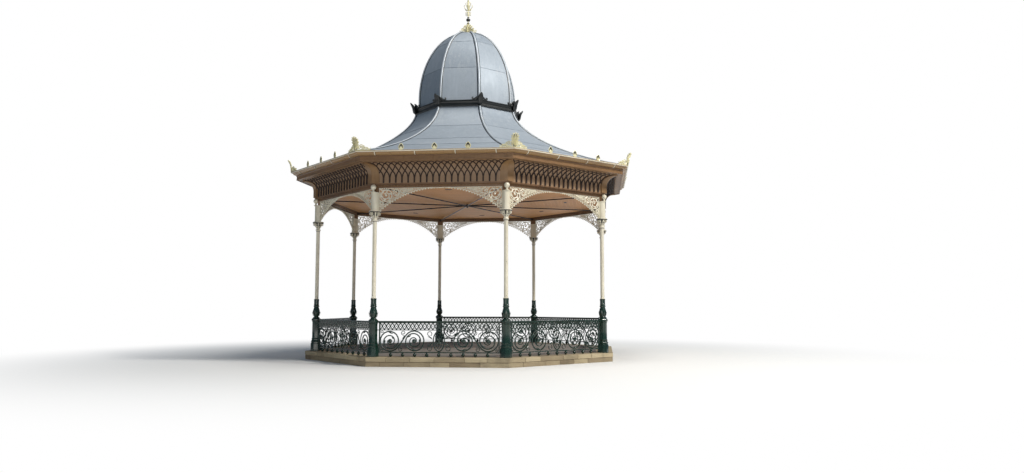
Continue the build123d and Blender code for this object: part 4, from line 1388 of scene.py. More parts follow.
@dataclass
class Eaves:
    """Wall plate, cove with its interlaced ribs, hip boards and eaves timbers."""

    beam_face: float = COLUMN_LINE + 0.026
    cornice_foot: float = 5.15
    stud_pitch: float = 0.094
    rib_pitch: float = 0.18
    rib_width: float = 0.03
    upright_width: float = 0.038
    rib_depth: float = 0.036
    rib_bow: tuple[Point, ...] = (
        (0.0, 0.12), (0.01, 0.18), (0.022, 0.23), (0.036, 0.272), (0.062, 0.312), (0.09, 0.35),
        (0.135, 0.428), (0.18, 0.512), (0.225, 0.588), (0.27, 0.64), (0.315, 0.692), (0.36, 0.738)
    )
    hip_half: float = 0.205
    hip_taper: tuple[Point, ...] = (
        (0.0, 1.0), (0.36, 1.0), (0.48, 0.86), (0.6, 0.62), (0.7, 0.38), (0.7626, 0.22)
    )
    hip_depth: float = 0.046

    def cove_at(self, along: float, offset: float) -> tuple[float, float, Vector]:
        """A place on the cove.

        Args:
            along: Distance up its face from its foot.
            offset: Distance out of its face.

        Returns:
            Distance from the centre, height, and the direction that the face looks in.
        """
        if along <= COVE_STRAIGHT:
            return COVE_FACE + offset, COVE_FOOT + along, FRONT
        turn = min(pi / 2, (along - COVE_STRAIGHT) / COVE_RADIUS)
        reach = COVE_RADIUS - offset
        height = COVE_FOOT + COVE_STRAIGHT + reach * sin(turn)
        return COVE_HEAD - reach * cos(turn), height, Vector((0.0, -cos(turn), -sin(turn)))

    def rib(self, form: Form, path: Points, set_back: float, width: float) -> None:
        """Add a rib along (x, distance up the face) points, thinner towards the cove's head."""
        girth = COVE_STRAIGHT + COVE_RADIUS * pi / 2
        spots, fronts, depths = [], [], []
        for x, along in path:
            depth = self.rib_depth * (1.0 - 0.55 * along / girth) - set_back
            distance, height, front = self.cove_at(along, depth / 2 + 0.001)
            spots.append(Vector((x, -distance, height)))
            fronts.append(front)
            depths.append(depth)
        form.sweep(spots, fronts, width, depths, 4)

    def lattice(self) -> Form:
        """Interlaced round-headed ribs of one side, cut off beside the hip boards."""
        form = Form()
        reach = COVE_FACE * tan(HALF) + COVE_RADIUS
        count = int(reach / self.rib_pitch) + 4
        bow_line = smooth_line(self.rib_bow, 2)
        for i in range(-count, count + 1):
            x = i * self.rib_pitch
            if abs(x) < reach:
                self.rib(form, [(x, 0.002), (x, self.rib_bow[0][1] + 0.02)], 0.0, self.upright_width)
            for side in HANDS:
                path = [(x + side * bow, along) for bow, along in bow_line]
                self.rib(form, path, 0.0 if side > 0 else 0.003, self.rib_width)
        form.mitre(self.hip_half * 0.2)
        return form

    def hips(self) -> Form:
        """Boards that follow the cove at each corner and narrow towards its head."""
        side = Form()
        for hand in HANDS:
            spots, fronts, widths = [], [], []
            for along, share in smooth_line(self.hip_taper, 6):
                distance, height, front = self.cove_at(along, self.hip_depth / 2)
                half = self.hip_half * share
                spots.append(Vector((hand * (distance * tan(HALF) - half / 2 + 0.02), -distance, height)))
                fronts.append(front)
                widths.append(half + 0.04)
            side.sweep(spots, fronts, widths, self.hip_depth, 4)
        side.mitre(0.0002)
        return Form().round_the_octagon(side)

    def studs(self) -> Form:
        """Row of small studs on both faces of the beam."""
        form = Form()
        half = BEAM_BACK * tan(HALF) - 0.05
        count = round(2 * half / self.stud_pitch)
        z = (BEAM_FOOT + self.cornice_foot) / 2
        for i in range(count + 1):
            x = (i / count * 2 - 1) * half
            form.bead(bay_point(x, z - 0.004, self.beam_face), (0.05, 0.016, 0.024))
            form.bead(bay_point(x, z + 0.006, BEAM_BACK), (0.042, 0.014, 0.02))
        return Form().round_the_octagon(form)

    def mouldings(self) -> list[tuple[str, Slot, list[Points]]]:
        """Names, slots and sections of the thin mouldings of the wall plate and eaves, and of the dark
        moulding under the gutter, which is painted shadow.
        """
        return [
            (
                "beam_mouldings", Slot.BROWN,
                [
                    shifted(
                        [
                            (-0.05, -0.0337), (-0.002, -0.0337), (0.004, -0.026), (0.004, -0.01),
                            (0.012, -0.002), (0.012, 0.008), (-0.004, 0.014), (-0.05, -0.001)
                        ],
                        self.beam_face, BEAM_FOOT
                    ),
                    shifted(
                        [
                            (-0.004, -0.022), (0.01, -0.016), (0.034, -0.006), (0.034, 0.001),
                            (-0.004, 0.001)
                        ],
                        self.beam_face, self.cornice_foot
                    ),
                    shifted(
                        [(-0.008, 0.001), (0.004, 0.001), (0.004, 0.014), (-0.008, 0.009)], BEAM_BACK,
                        BEAM_FOOT
                    ),
                    shifted(
                        [
                            (-0.04, -0.012), (-0.03, -0.022), (-0.006, -0.034), (0.004, -0.04),
                            (0.004, -0.001), (-0.04, -0.001)
                        ],
                        BEAM_BACK, COVE_FOOT
                    )
                ]
            ),
            (
                "eaves_mouldings", Slot.EAVES,
                [
                    shifted(
                        [(0.006, -0.012), (0.036, -0.012), (0.04, 0.001), (0.002, 0.001)], COVE_HEAD, SOFFIT
                    ),
                    shifted(
                        [
                            (-0.03, -0.01), (0.008, -0.01), (0.012, -0.004), (0.012, 0.016),
                            (-0.002, 0.022), (-0.03, 0.001)
                        ],
                        FASCIA, SOFFIT
                    )
                ]
            ),
            (
                # Painted shadow: a dark brown moulding under the gutter's overhang.
                "gutter_shadow_moulding", Slot.BROWN,
                [
                    shifted(
                        [(-0.004, 0.1), (0.01, 0.108), (0.02, 0.122), (0.02, 0.1385), (-0.004, 0.1385)],
                        FASCIA, SOFFIT
                    )
                ]
            )
        ]

    def build(self, finishes: Finishes) -> None:
        """Build and dress the timber round the eaves."""
        for node, slot in [
            ("wall_plate", Slot.BROWN), ("eaves_cove", Slot.COVE), ("eaves_plate", Slot.EAVES)
        ]:
            paint_node(node, finishes.materials[slot])
        self.hips().place("hip_boards_shaped", finishes, Slot.HIP, "hip_boards")
        lattice = self.lattice()
        for i, name in enumerate(BAY_NAMES):
            lattice.place(f"cove_lattice_{name}", finishes, Slot.RIBS, f"frieze_{name}", BAY * i)
        self.studs().place("beam_studs", finishes, Slot.EAVES)
        for name, slot, sections in self.mouldings():
            form = Form()
            for section in sections:
                form.octagon_spin(section)
            form.place(name, finishes, slot)


@dataclass
class Ceiling:
    """Boarded ceiling in eight sectors with small vents, and the tie rods below it."""

    board: float = 0.124
    board_gap: float = 0.004
    board_depth: float = 0.01
    vent_radius: float = 3.36
    rod_height: float = 5.108
    hub_radius: float = 0.055

    def sector(self, chance: Random) -> Form:
        """Boards of one sector, parallel to its side of the octagon."""
        form = Form()
        plane = Matrix.Translation((0.0, 0.0, COVE_FOOT - self.board_depth / 2))
        for i in range(int(BEAM_BACK / self.board)):
            outer = BEAM_BACK - 0.001 - i * self.board
            inner = max(0.02, outer - self.board + self.board_gap)
            half_outer = outer * tan(HALF) - 0.002
            half_inner = max(0.004, inner * tan(HALF) - 0.002)
            points = [
                (-half_outer, -outer), (half_outer, -outer), (half_inner, -inner), (-half_inner, -inner)
            ]
            form.plate(points, self.board_depth, plane, 0.0015, chance.random())
        return form

    def vent(self) -> Form:
        """One oval vent with slats."""
        form = Form()
        y, z = -self.vent_radius, COVE_FOOT - self.board_depth
        middle = Matrix.Translation((0.0, y, z - 0.002)) @ Matrix.Diagonal((1.0, 0.5, 1.0, 1.0))
        rim = [
            (0.0, 0.003), (0.105, 0.003), (0.11, -0.002), (0.104, -0.008), (0.09, -0.008), (0.086, 0.0),
            (0.0, 0.0)
        ]
        form.spin(rim, 24, matrix=middle)
        for i in range(-3, 4):
            x = i * 0.024
            half = 0.042 * sqrt(1 - (x / 0.095) ** 2)
            form.block((x - 0.006, y - half, z - 0.007), (x + 0.006, y + half, z - 0.002), 0.001)
        return form

    def rods(self) -> Form:
        """Round rods from the hub to the wall plate's corners, with their nuts."""
        rod = Form()
        end = BEAM_BACK / cos(HALF) - 0.006
        for low, high, width, sides in [
            (0.05, end, 0.036, 10), (0.05, 0.11, 0.046, 6), (end - 0.06, end - 0.012, 0.05, 6),
            (end - 0.012, end, 0.084, 6), (1.45, 1.6, 0.042, 6)
        ]:
            rod.sweep(
                radial_line([(low, self.rod_height), (high, self.rod_height)]), UP, width, width, sides
            )
        form = Form().round_the_octagon(rod, HALF)
        r = self.hub_radius
        drop = [(0.0, -0.075), (0.02, -0.07), (0.03, -0.052), (0.022, -0.04)]
        drum = [
            (r, -0.03), (r + 0.006, -0.02), (r + 0.006, 0.02), (r, 0.03), (0.03, 0.034), (0.024, 0.06),
            (0.0, 0.066)
        ]
        form.spin(drop + drum, 24, matrix=Matrix.Translation(UP * self.rod_height))
        return form

    def build(self, finishes: Finishes) -> None:
        """Build and dress the ceiling and rods."""
        paint_node("ceiling", finishes.materials[Slot.CEILING])
        chance = Random(3)
        boards = Form()
        for i in range(SIDES):
            boards.merge(self.sector(chance), spin_matrix(i))
        boards.place("ceiling_matchboard", finishes, Slot.CEILING)
        Form().round_the_octagon(self.vent()).place("ceiling_vents", finishes, Slot.BLACK)
        self.rods().place("tie_rods_round", finishes, Slot.BLACK, "tie_rods")


@dataclass
class Gutter:
    """Ogee gutter with joints, small palmettes on its rim and ornaments at its corners."""

    seat: float = 5.885
    projection: float = 0.176
    height: float = 0.115
    lip: float = 0.015
    joints: tuple[float, ...] = (-1.71, -0.57, 0.57, 1.71)
    rim: float = seat + height
    crest_line: float = FASCIA + projection - lip / 2
    crest_spacing: float = 0.94
    crest_height: float = 0.185
    crest_half: float = 0.075
    leaf_height: float = 0.36

    def outside(self) -> Points:
        """Outer ogee from the wall to the rim."""
        p, h = self.projection, self.height
        shares = [
            (0.0, 0.0), (0.1, 0.0), (0.24, 0.03), (0.46, 0.15), (0.58, 0.34), (0.66, 0.56), (0.8, 0.74),
            (0.96, 0.84)
        ]
        line = smooth_line([(FASCIA + u * p, self.seat + v * h) for u, v in shares], 3)
        return line + shifted([(0.0, -self.lip), (0.0, -0.003), (-0.004, 0.0)], FASCIA + p, self.rim)

    def section(self) -> Points:
        """Closed section of the gutter."""
        p, h = self.projection, self.height
        inside = [
            (p - self.lip, h), (p * 0.62, h * 0.8), (p * 0.5, h * 0.45), (p * 0.36, h * 0.28),
            (-0.06, h * 0.13), (-0.06, 0.0)
        ]
        return self.outside() + shifted(inside, FASCIA, self.seat)

    def collars(self, width: float, shift: float) -> Form:
        """A strip round the gutter beside each joint, as a pale collar or as the dark strip of painted
        shadow next to it.
        """
        side = Form()
        line = shifted(self.outside()[:-2], 0.004, -0.0024)
        plane = upright(FRONT, UP, -RIGHT, Vector())
        for x in self.joints:
            side.plate(
                line + shifted(line[::-1], -0.01, 0.006), width,
                Matrix.Translation(RIGHT * (x + shift)) @ plane
            )
        return Form().round_the_octagon(side)

    def rim_bead(self) -> Form:
        """Round bead along the rim."""
        form = Form()
        bead = [
            (-0.03, -0.036), (-0.004, -0.038), (0.0035, -0.031), (0.0035, -0.004), (-0.002, 0.0005),
            (-0.012, 0.0005), (-0.03, -0.01)
        ]
        form.octagon_spin(shifted(bead, FASCIA + self.projection - 0.004, self.rim))
        return form

    def petal(self, form: Form, path: list[Vector], width: float, depth: float = 0.012) -> None:
        """Add a petal that widens and then comes to a point."""
        form.sweep(
            path, FRONT, graded(path, lambda s: 0.008 + (width - 0.008) * sin(pi * (0.12 + 0.88 * s))),
            depth
        )

    def crest(self) -> Form:
        """One palmette: a pointed border round a spear and four petals, on a small base."""
        form = Form()
        w, h = self.crest_half, self.crest_height
        foot = self.rim - 0.002

        def at(points: Points, steps: int, side: int = 1) -> list[Vector]:
            """A smooth line on the palmette's plane, from shares of its half width and height."""
            return bay_line(
                smooth_line([(side * w * x, foot + h * z) for x, z in points], steps), self.crest_line
            )

        border = [(0.4, 0.004 / h), (0.9, 0.26), (0.84, 0.56), (0.4, 0.84), (0.0, 0.985)]
        for side in HANDS:
            form.sweep(at(border, 4, side), FRONT, 0.021, 0.018)
            for x, z, width in [(0.56, 0.3, 0.044), (0.5, 0.5, 0.03)]:
                self.petal(form, at([(0.06, 0.06), (x * 0.6, z * 0.55), (x, z)], 3, side), width)
        self.petal(form, at([(0.0, 0.04), (0.0, 0.3), (0.0, 0.62)], 3), 0.04, 0.02)
        y = -self.crest_line
        form.block((-w * 0.62, y - 0.009, foot), (w * 0.62, y + 0.009, foot + 0.022), 0.003)
        return form

    def hollow(self) -> Form:
        """Painted shade: a dark plate behind one palmette's leaves, which shows in the gaps between them.
        """
        form = Form()
        w, h = self.crest_half, self.crest_height
        half = [
            (w * 0.36, 0.02), (w * 0.8, h * 0.28), (w * 0.74, h * 0.56), (w * 0.34, h * 0.8),
            (0.0, h * 0.92)
        ]
        plane = upright(RIGHT, UP, FRONT, bay_point(0.0, self.rim - 0.002, self.crest_line))
        form.plate(symmetric(smooth_line(half, 3)), 0.004, plane)
        return form

    def cresting(self, one: Form) -> Form:
        """Three copies of a form on each side."""
        side = Form()
        for i in (-1, 0, 1):
            side.merge(one, Matrix.Translation(RIGHT * (i * self.crest_spacing)))
        return Form().round_the_octagon(side)

    def wing(self) -> Form:
        """Scrolls of a corner ornament along the right half of the front side's rim."""
        form = Form()
        corner = self.crest_line * tan(HALF)

        def at(points: Points) -> list[Vector]:
            """Places on the wing's plane, measured back from the corner."""
            return bay_line([(corner - x, self.rim + z) for x, z in points], self.crest_line)

        form.sweep(at([(0.0, 0.008), (0.43, 0.008)]), FRONT, 0.02, 0.02, 4)
        for centre, radius, start, turns, bar in [
            ((0.156, 0.09), 0.078, -0.35 * pi, 1.75, 0.026), ((0.27, 0.058), 0.042, 0.95 * pi, -1.6, 0.018),
            ((0.35, 0.042), 0.028, 0.1 * pi, 1.5, 0.014)
        ]:
            form.sweep(
                at(spiral(centre, start, turns, (radius, radius * 0.28), 0.15, 16)), FRONT, bar, 0.02
            )
            form.bead(at([centre])[0], (radius * 0.55, 0.03, radius * 0.55), 8)
        for path, width in [
            ([(0.06, 0.02), (0.072, 0.08), (0.062, 0.14)], 0.052),
            ([(0.2, 0.11), (0.232, 0.13), (0.262, 0.122)], 0.034),
            ([(0.3, 0.065), (0.325, 0.086), (0.356, 0.08)], 0.026),
            ([(0.375, 0.02), (0.41, 0.045), (0.428, 0.075)], 0.026),
            ([(0.2, 0.012), (0.215, 0.035), (0.235, 0.055)], 0.03)
        ]:
            self.petal(form, at(smooth_line(path)), width, 0.02)
        return form

    def leaf_point(self, x: float, height: float) -> Vector:
        """A place on a corner's leaf, by its distance from the midrib and its height over the rim."""
        rise = height / self.leaf_height
        reach = self.crest_line / cos(HALF) - 0.012 + 0.022 * rise + 0.07 * rise**4
        return Vector((x, -reach, self.rim + height))

    def leaf_shade_ground(self) -> Form:
        """Painted shade: a dark strip behind a corner's leaf, facing -Y, which shows between its lobes."""
        form = Form()
        spine = [self.leaf_point(0.0, 0.34 * i / 12) for i in range(13)]
        form.sweep(spine, RIGHT, 0.022, graded(spine, lambda s: 0.075 + 0.105 * s**1.3 - 0.075 * s**9), 10)
        return form

    def leaf_lobes(self) -> Form:
        """Lobes of a corner's leaf, facing -Y: a fan that leans out and makes a rounded hood."""
        form = Form()
        lobes = [(0.06, 0.352, 0.04), (0.096, 0.305, 0.038), (0.106, 0.232, 0.036), (0.092, 0.155, 0.034)]
        for hand in (-1, 0, 1):
            for x, height, width in lobes if hand else [(0.0, 0.368, 0.044)]:
                line = smooth_line(
                    [(0.0, 0.02), (x * 0.4, height * 0.55), (x * 0.8, height * 0.88), (x, height)], 3
                )
                path = [self.leaf_point(hand * a, z) for a, z in line]
                widths = graded(path, lambda s: 0.01 + (width - 0.01) * s**0.7)
                form.sweep(path, Vector((0.0, -1.0, 0.15)), widths, 0.046)
                form.bead(path[-1], (width * 1.1, 0.05, width), 8)
        return form

    def corners(self) -> Form:
        """All the corner ornaments."""
        one = Form()
        for hand in HANDS:
            flip = Matrix.Diagonal((-hand, 1.0, 1.0, 1.0))
            one.merge(self.wing(), Matrix.Rotation(hand * HALF, 4, "Z") @ flip)
        one.merge(self.leaf_lobes())
        return Form().round_the_octagon(one, HALF)

    def build(self, finishes: Finishes) -> None:
        """Build and dress the gutter and its ornaments."""
        trough = Form()
        trough.octagon_spin(self.section())
        # Painted shade: dark plates behind the palmettes and the corner leaves.
        shade_grounds = self.cresting(self.hollow()).round_the_octagon(self.leaf_shade_ground(), HALF)
        for name, form, slot, node in [
            ("gutter_ogee", trough, Slot.GUTTER, "gutter"), ("gutter_rim", self.rim_bead(), Slot.CREAM, ""),
            ("gutter_collars", self.collars(0.026, 0.0), Slot.CREAM, ""),
            # Painted shadow: a dark strip beside each collar.
            ("gutter_joint_shadows", self.collars(0.01, 0.018), Slot.RIBS, ""),
            ("gutter_palmettes", self.cresting(self.crest()), Slot.GILT, "gutter_crests"),
            ("palmette_shade_grounds", shade_grounds, Slot.BLACK, ""),
            ("corner_palmettes", self.corners(), Slot.GILT, "corner_acroteria")
        ]:
            form.place(name, finishes, slot, node)


@dataclass
class Roof:
    """Concave sheet roof, black neck band and ribbed dome, their laps and rolls."""

    skirt_foot: float = (FASCIA + 0.037) / cos(HALF)
    skirt_foot_height: float = 6.02
    skirt_head: float = 1.79
    skirt_head_height: float = 8.16
    foot_pull: Point = (-2.1, 0.47)
    head_pull: Point = (0.17, -0.75)
    skirt_laps: tuple[float, ...] = (6.46, 6.79, 7.41)
    lap: float = 0.008
    # Tone of the dark zinc that paints the shadow at each lap.
    lap_shadow_tone: float = 2.5
    roll_radius: float = 0.041
    neck_head: float = 8.37
    neck_radius: float = 1.84
    dome_radius: float = 1.68
    dome_spring: float = 8.66
    dome_crown: float = 0.13
    dome_laps: tuple[float, ...] = (9.52, 10.56)

    def skirt_line(self, steps: int = 36) -> Points:
        """Falling line of the skirt's corners, as (radius, height) points."""
        head, foot = (self.skirt_head, self.skirt_head_height), (self.skirt_foot, self.skirt_foot_height)
        spots = [head, *shifted([self.head_pull], *head), *shifted([self.foot_pull], *foot), foot]
        line = []
        for i in range(steps + 1):
            t = i / steps
            shares = [(1 - t) ** 3, 3 * t * (1 - t) ** 2, 3 * t * t * (1 - t), t**3]
            line.append(tuple(sum(s * p[k] for s, p in zip(shares, spots)) for k in (0, 1)))
        return line

    def dome_line(self, steps: int = 34) -> Points:
        """Falling line of the dome's corners from its crown to the neck band."""
        crown = self.dome_crown / cos(HALF)
        rise = DOME_TOP - self.dome_spring
        turns = [pi / 2 * i / steps for i in range(steps, -1, -1)]
        line = [(max(self.dome_radius * cos(t), crown), self.dome_spring + rise * sin(t)) for t in turns]
        feet = ((self.dome_spring + self.neck_head) / 2, self.neck_head - 0.05)
        return line + [(self.dome_radius, z) for z in feet]

    def sheets(self, line: Points, laps: tuple[float, ...], seed: int) -> Form:
        """Sheets of a roof in eight facets, each course's foot standing on the one below.

        Args:
            line: Falling line of the corners.
            laps: Rising heights at which one course laps over the next.
            seed: Start of the sheets' differences in tone.

        Returns:
            The sheets.
        """
        form = Form()
        chance = Random(seed)
        levels = [line[0][1] + 1.0, *laps[::-1], line[-1][1] - 1.0]
        for head, foot in zip(levels, levels[1:]):
            ends = [self.crossing(line, edge) for edge in (head, foot)]
            points = [p for p in line if foot < p[1] < head] + [p for p in ends if p]
            points.sort(key=lambda p: (-p[1], p[0]))
            lifts = graded(points, lambda s: self.lap * s)
            lifted = [(r + lift, z + 0.6 * lift) for (r, z), lift in zip(points, lifts)]
            section = lifted + shifted(points[::-1], -0.012, -0.012)
            for side in range(SIDES):
                form.add(Form.facet(section), spin_matrix(side), chance.random())
        return form

    @staticmethod
    def crossing(line: Points, height: float) -> Point | None:
        """Where a falling line passes a height, if it does."""
        for (r0, z0), (r1, z1) in zip(line, line[1:]):
            if z1 <= height <= z0 and z0 > z1:
                return r0 + (r1 - r0) * (z0 - height) / (z0 - z1), height
        return None

    def roll(self, line: Points, width: float, depth: float, set_out: float) -> Form:
        """One roll along a corner, or the wider dark strip of painted shadow under it, facing -Y, its
        middle set out from the corner.
        """
        form = Form()
        path = radial_line(shifted(line, set_out))
        ends = [path[0], *path, path[-1]]
        fronts = [RIGHT.cross(after - before).normalized() for before, after in zip(ends, ends[2:])]
        form.sweep(path, fronts, width, depth, 12)
        return form

    def neck_section(self) -> Points:
        """Closed section of the neck band."""
        face = self.neck_radius * cos(HALF)
        foot, head = self.skirt_head_height, self.neck_head
        inner = self.dome_radius * cos(HALF) - 0.01
        rise = [
            (0.0, 0.001), (0.004, 0.012), (0.0, 0.026), (-0.012, 0.034), (-0.024, 0.052), (-0.026, 0.092),
            (-0.018, 0.1), (-0.014, 0.108), (-0.018, 0.116), (-0.026, 0.124)
        ]
        cap = [(-0.022, -0.056), (-0.01, -0.036), (0.004, -0.026), (0.004, -0.01), (-0.004, 0.0)]
        return [(inner, foot + 0.001), *shifted(rise, face, foot), *shifted(cap, face, head), (inner, head)]

    def neck_leaf(self) -> Form:
        """Ornament of one corner of the neck band: a leaf that leans out, one behind it and two curls."""
        form = Form()
        r, head = self.neck_radius, self.neck_head
        outer = [
            (-0.03, -0.15), (0.012, -0.13), (0.03, -0.05), (0.045, 0.025), (0.08, 0.09), (0.125, 0.145),
            (0.155, 0.195)
        ]
        self.body(form, smooth_line(shifted(outer, r, head), 3), (0.07, 0.105, 0.018), (0.11, 0.19, 0.03))
        crown = [(-0.07, -0.03), (-0.06, 0.06), (-0.03, 0.12), (0.02, 0.165)]
        self.body(form, smooth_line(shifted(crown, r, head)), (0.11, 0.09, 0.018), (0.28, 0.17, 0.026))
        curl = smooth_line(
            [
                (0.02, 0.075), (0.085, 0.078), (0.15, 0.04), (0.215, 0.012), (0.262, 0.03), (0.262, 0.068),
                (0.23, 0.07)
            ]
        )
        flat, corner = r * cos(HALF) + 0.004, r * sin(HALF)
        for hand in HANDS:
            turn = Matrix.Rotation(hand * HALF, 4, "Z")
            path = [turn @ p for p in bay_line([(hand * (x - corner), head + z) for x, z in curl], flat)]
            form.sweep(path, turn.to_3x3() @ FRONT, graded(path, lambda s: 0.085 - 0.055 * s), 0.045)
        return form

    @staticmethod
    def body(form: Form, line: Points, thick: Triple, wide: Triple) -> None:
        """Add a solid leaf along (radius, height) points in the plane that faces -Y.

        Args:
            form: Where it goes.
            line: Its middle line.
            thick: Its thickness at its root, middle and tip.
            wide: Its width at its root, middle and tip.
        """
        sizes = []
        for root, middle, tip in (thick, wide):
            bulge = 2 * (2 * middle - (root + tip) / 2)
            sizes.append(graded(line, lambda s: root * (1 - s) ** 2 + bulge * s * (1 - s) + tip * s * s))
        form.sweep(radial_line(line), RIGHT, *sizes, 8)

    def lap_shadows(self) -> Form:
        """Painted shadow: dark zinc strips at the feet of the sheets where one course laps over the next.
        """
        form = Form()
        for line, laps in [(self.skirt_line(), self.skirt_laps), (self.dome_line(), self.dome_laps)]:
            for height in laps:
                (reach, head), (below, foot) = (self.crossing(line, height + d) for d in (0.002, -0.005))
                section = [
                    (reach - 0.006, head), (reach + 0.005, head), (below + 0.003, foot),
                    (below - 0.006, foot)
                ]
                form.spin(section, SIDES, True, HALF, None, self.lap_shadow_tone)
        return form

    def build(self, finishes: Finishes) -> None:
        """Build and dress the roof, neck and dome."""
        skirt, dome = self.sheets(
            self.skirt_line(), self.skirt_laps, 21
        ), self.sheets(self.dome_line(), self.dome_laps, 8)
        skirt.place("skirt_sheets", finishes, Slot.ZINC, "roof_skirt")
        dome.place("dome_sheets", finishes, Slot.ZINC, "dome")
        width = 2 * self.roll_radius
        shadow_strips = Form()
        for part, line in [("skirt", self.skirt_line(26)), ("dome", self.dome_line(26))]:
            rolls = Form().round_the_octagon(self.roll(line, width, 0.85 * width, 0.002), HALF)
            rolls.place(f"{part}_rolls_round", finishes, Slot.ROLL, f"{part}_rolls")
            # Painted shadow: a wider dark strip under each roll stands for the shade beside it.
            shadow_strips.round_the_octagon(self.roll(line, width + 0.036, 0.048, -0.012), HALF)
        shadow_strips.place("roll_shadow_strips", finishes, Slot.BLACK)
        band = Form()
        band.octagon_spin(self.neck_section())
        band.place("neck_moulding", finishes, Slot.BLACK, "neck_band")
        self.lap_shadows().place("sheet_lap_shadows", finishes, Slot.ZINC)
        Form().round_the_octagon(self.neck_leaf(), HALF).place(
            "neck_foliage", finishes, Slot.BLACK, "neck_leaves"
        )


@dataclass
class Finial:
    """Wrought finial on the dome: scroll brackets, collar, knob, small scrolls and a flower."""

    top: float = 12.46
    spread: float = 1.1
    base_radius: float = 0.116

    def bracket(self) -> Form:
        """One scroll bracket of the foot, in the upright plane that faces -Y."""
        form = Form()

        def at(points: Points) -> list[Vector]:
            """Places on the bracket's plane, spread from the foot's middle."""
            return radial_line([(r * self.spread, DOME_TOP + z * self.spread) for r, z in points])

        rib = [(0.262, 0.014), (0.215, 0.084), (0.15, 0.118), (0.098, 0.172), (0.06, 0.24), (0.04, 0.318)]
        form.sweep(at(smooth_line(rib)), RIGHT, 0.022, 0.024)
        for centre, radius, start, turns in [
            ((0.196, 0.056), 0.052, 0.45, 1.6), ((0.094, 0.074), 0.05, -0.4, -1.5),
            ((0.068, 0.184), 0.038, -0.2, -1.4), ((0.25, 0.088), 0.03, 0.2, 1.3),
            ((0.116, 0.236), 0.028, 0.1, 1.3), ((0.168, 0.16), 0.026, 0.1, 1.3)
        ]:
            form.sweep(
                at(spiral(centre, start * pi, turns, (radius, radius * 0.3), 0.15, 12)), RIGHT, 0.019, 0.019
            )
        form.sweep(at([(0.03, 0.009), (0.25, 0.009)]), RIGHT, 0.022, 0.018, 4)
        return form

    def turned(self) -> Points:
        """Profile of the stem with its small rings."""
        stem = [
            (0.0, -0.02), (0.06, -0.02), (0.06, 0.012), (0.026, 0.03), (0.02, 0.3), (0.018, 0.372),
            (0.017, 0.556), (0.014, 0.7), (0.024, 0.712), (0.024, 0.732), (0.013, 0.744), (0.012, 0.83),
            (0.026, 0.842), (0.022, 0.856), (0.011, 0.87), (0.008, 1.19), (0.016, 1.225)
        ]
        return [*shifted(stem, 0.0, DOME_TOP), (0.006, self.top - 0.012), (0.0, self.top - 0.001)]

    def flower(self) -> Form:
        """Scrolls and leaves of one quarter, in the upright plane that faces -Y."""
        form = Form()
        for up in HANDS:
            curl = spiral((0.056, DOME_TOP + 0.722 + up * 0.032), pi, -up * 1.35, (0.04, 0.012), 0.2)
            form.sweep(radial_line(curl), RIGHT, 0.017, 0.017)
        for points, width in [
            ([(0.01, 0.84), (0.07, 0.875), (0.125, 0.935), (0.146, 1.0), (0.124, 1.04)], 0.062),
            ([(0.01, 0.9), (0.045, 0.97), (0.075, 1.045), (0.088, 1.105), (0.068, 1.135)], 0.056),
            ([(0.008, 1.01), (0.022, 1.08), (0.032, 1.15), (0.014, 1.215)], 0.04),
            ([(0.01, 0.85), (0.06, 0.838), (0.098, 0.862), (0.1, 0.895)], 0.036)
        ]:
            path = radial_line(shifted(smooth_line(points), 0.0, DOME_TOP))
            form.sweep(
                path, RIGHT, 0.02,
                graded(path, lambda s: 0.01 + (width - 0.01) * sin(pi * (0.08 + 0.92 * s)))
            )
        return form

    def build(self, finishes: Finishes) -> None:
        """Build and dress the finial."""
        whole = Form()
        whole.spin(self.turned(), 20)
        whole.round_the_octagon(self.bracket())
        flower = self.flower()
        for i in range(4):
            whole.merge(flower, spin_matrix(2 * i))
        r = self.base_radius
        whole.spin(shifted([(0.0, -0.002), (r, -0.002), (r, 0.006), (0.0, 0.01)], 0.0, DOME_TOP), 24)
        whole.place("finial_wrought", finishes, Slot.GILT, "finial")
        # Painted shade: the knob and two small collars are black where the gilt looks dark in shadow.
        shade_beads = Form()
        for height, radius, half in [(0.375, 0.048, 0.026), (0.5, 0.074, 0.06), (0.59, 0.036, 0.02)]:
            middle = DOME_TOP + height
            shade_beads.spin(
                [
                    (0.0, middle - half), *ball(radius, middle, half, range(-75, 76, 15)),
                    (0.0, middle + half)
                ],
                20
            )
        shade_beads.place("finial_shade_beads", finishes, Slot.BLACK)


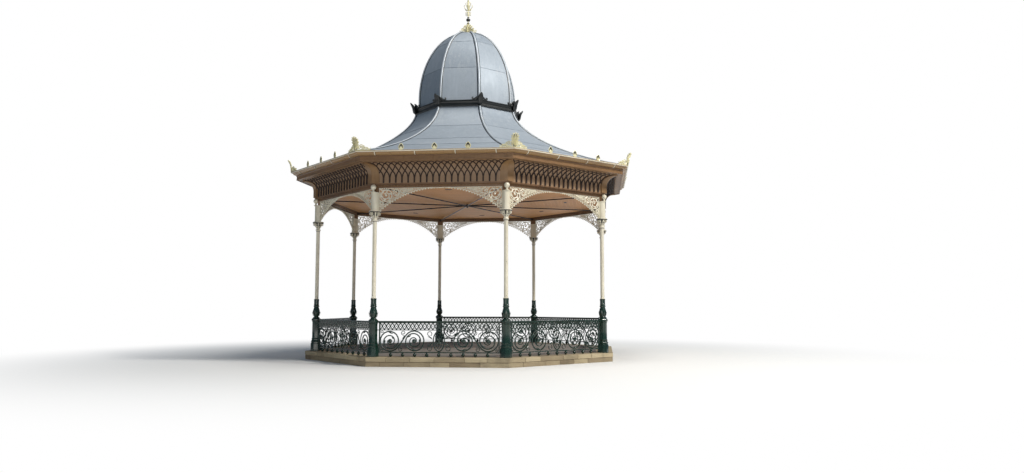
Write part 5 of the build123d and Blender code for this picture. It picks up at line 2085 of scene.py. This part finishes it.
@dataclass
class Studio:
    """Pale floor, soft lamps, white surroundings and the camera."""

    camera_spot: Triple = (4.504, -26.178, 1.688)
    camera_tilt: float = 95.095
    camera_heading: float = 6.449
    lens: float = 27.364
    floor_half: float = 90.0
    sky: Triple = (0.6, 0.78, 1.0)
    sky_strength: float = 0.22
    lamp_colour: Triple = (1.0, 0.965, 0.9)
    aim: Triple = (0.0, 0.0, 4.5)

    def lamp(self, name: str, spot: Triple, size: float, power: float) -> None:
        """Add a soft square lamp aimed at the bandstand."""
        light = bpy.data.lights.new(name, "AREA")
        light.shape = "SQUARE"
        light.size = size
        light.energy = power
        light.color = self.lamp_colour
        lamp = bpy.data.objects.new(name, light)
        lamp.location = spot
        lamp.rotation_euler = (Vector(self.aim) - Vector(spot)).to_track_quat("-Z", "Y").to_euler()
        bpy.context.scene.collection.objects.link(lamp)

    def floor(self) -> None:
        """Add the pale floor."""
        part = bmesh.new()
        bmesh.ops.create_grid(part, x_segments=1, y_segments=1, size=self.floor_half)
        mesh = bpy.data.meshes.new("studio_floor")
        part.to_mesh(mesh)
        part.free()
        mesh.transform(Matrix.Translation((0.0, 0.0, -0.001)))
        mesh.materials.append(PaleFloor().build())
        floor = bpy.data.objects.new("studio_floor", mesh)
        bpy.context.scene.collection.objects.link(floor)

    def world(self) -> None:
        """Light the surroundings, which are white to the camera."""
        world = bpy.data.worlds.new("studio")
        world.use_nodes = True
        graph = Graph(world.node_tree)
        output = graph.node("ShaderNodeOutputWorld")
        soft = graph.node(
            "ShaderNodeBackground", None, {"Color": (*self.sky, 1.0), "Strength": self.sky_strength}
        )
        white = graph.node("ShaderNodeBackground", None, {"Color": (1.0, 1.0, 1.0, 1.0), "Strength": 1.0})
        graph.mix(graph.value("ShaderNodeLightPath", output="Is Camera Ray"), soft, white, output)
        bpy.context.scene.world = world

    def build(self) -> None:
        """Set up the studio."""
        self.floor()
        self.world()
        self.lamp("key_lamp", (24.0, -14.0, 25.0), 4.0, 10500.0)
        self.lamp("front_lamp", (2.0, -24.0, 5.0), 9.0, 800.0)
        self.lamp("top_lamp", (4.0, -5.0, 27.0), 9.0, 2300.0)
        self.lamp("back_lamp", (2.0, 20.0, 12.0), 8.0, 500.0)
        camera = bpy.data.cameras.new("camera")
        camera.sensor_width = 36.0
        camera.lens = self.lens
        camera.clip_end = 300.0
        eye = bpy.data.objects.new("camera", camera)
        eye.location = self.camera_spot
        eye.rotation_euler = (radians(self.camera_tilt), 0.0, radians(self.camera_heading))
        bpy.context.scene.collection.objects.link(eye)
        bpy.context.scene.camera = eye
        bpy.context.scene.view_settings.view_transform = "Standard"


def main() -> None:
    """Build and dress the bandstand from the ground up, then the studio."""
    logging.basicConfig(level=logging.INFO, format="%(message)s")
    finishes = Finishes.build()
    for part in (
        Plinth(), Pedestals(), Columns(), Railings(), Spandrels(), Eaves(), Ceiling(), Gutter(), Roof(),
        Finial()
    ):
        part.build(finishes)
    Studio().build()


if __name__ == "__main__":
    main()
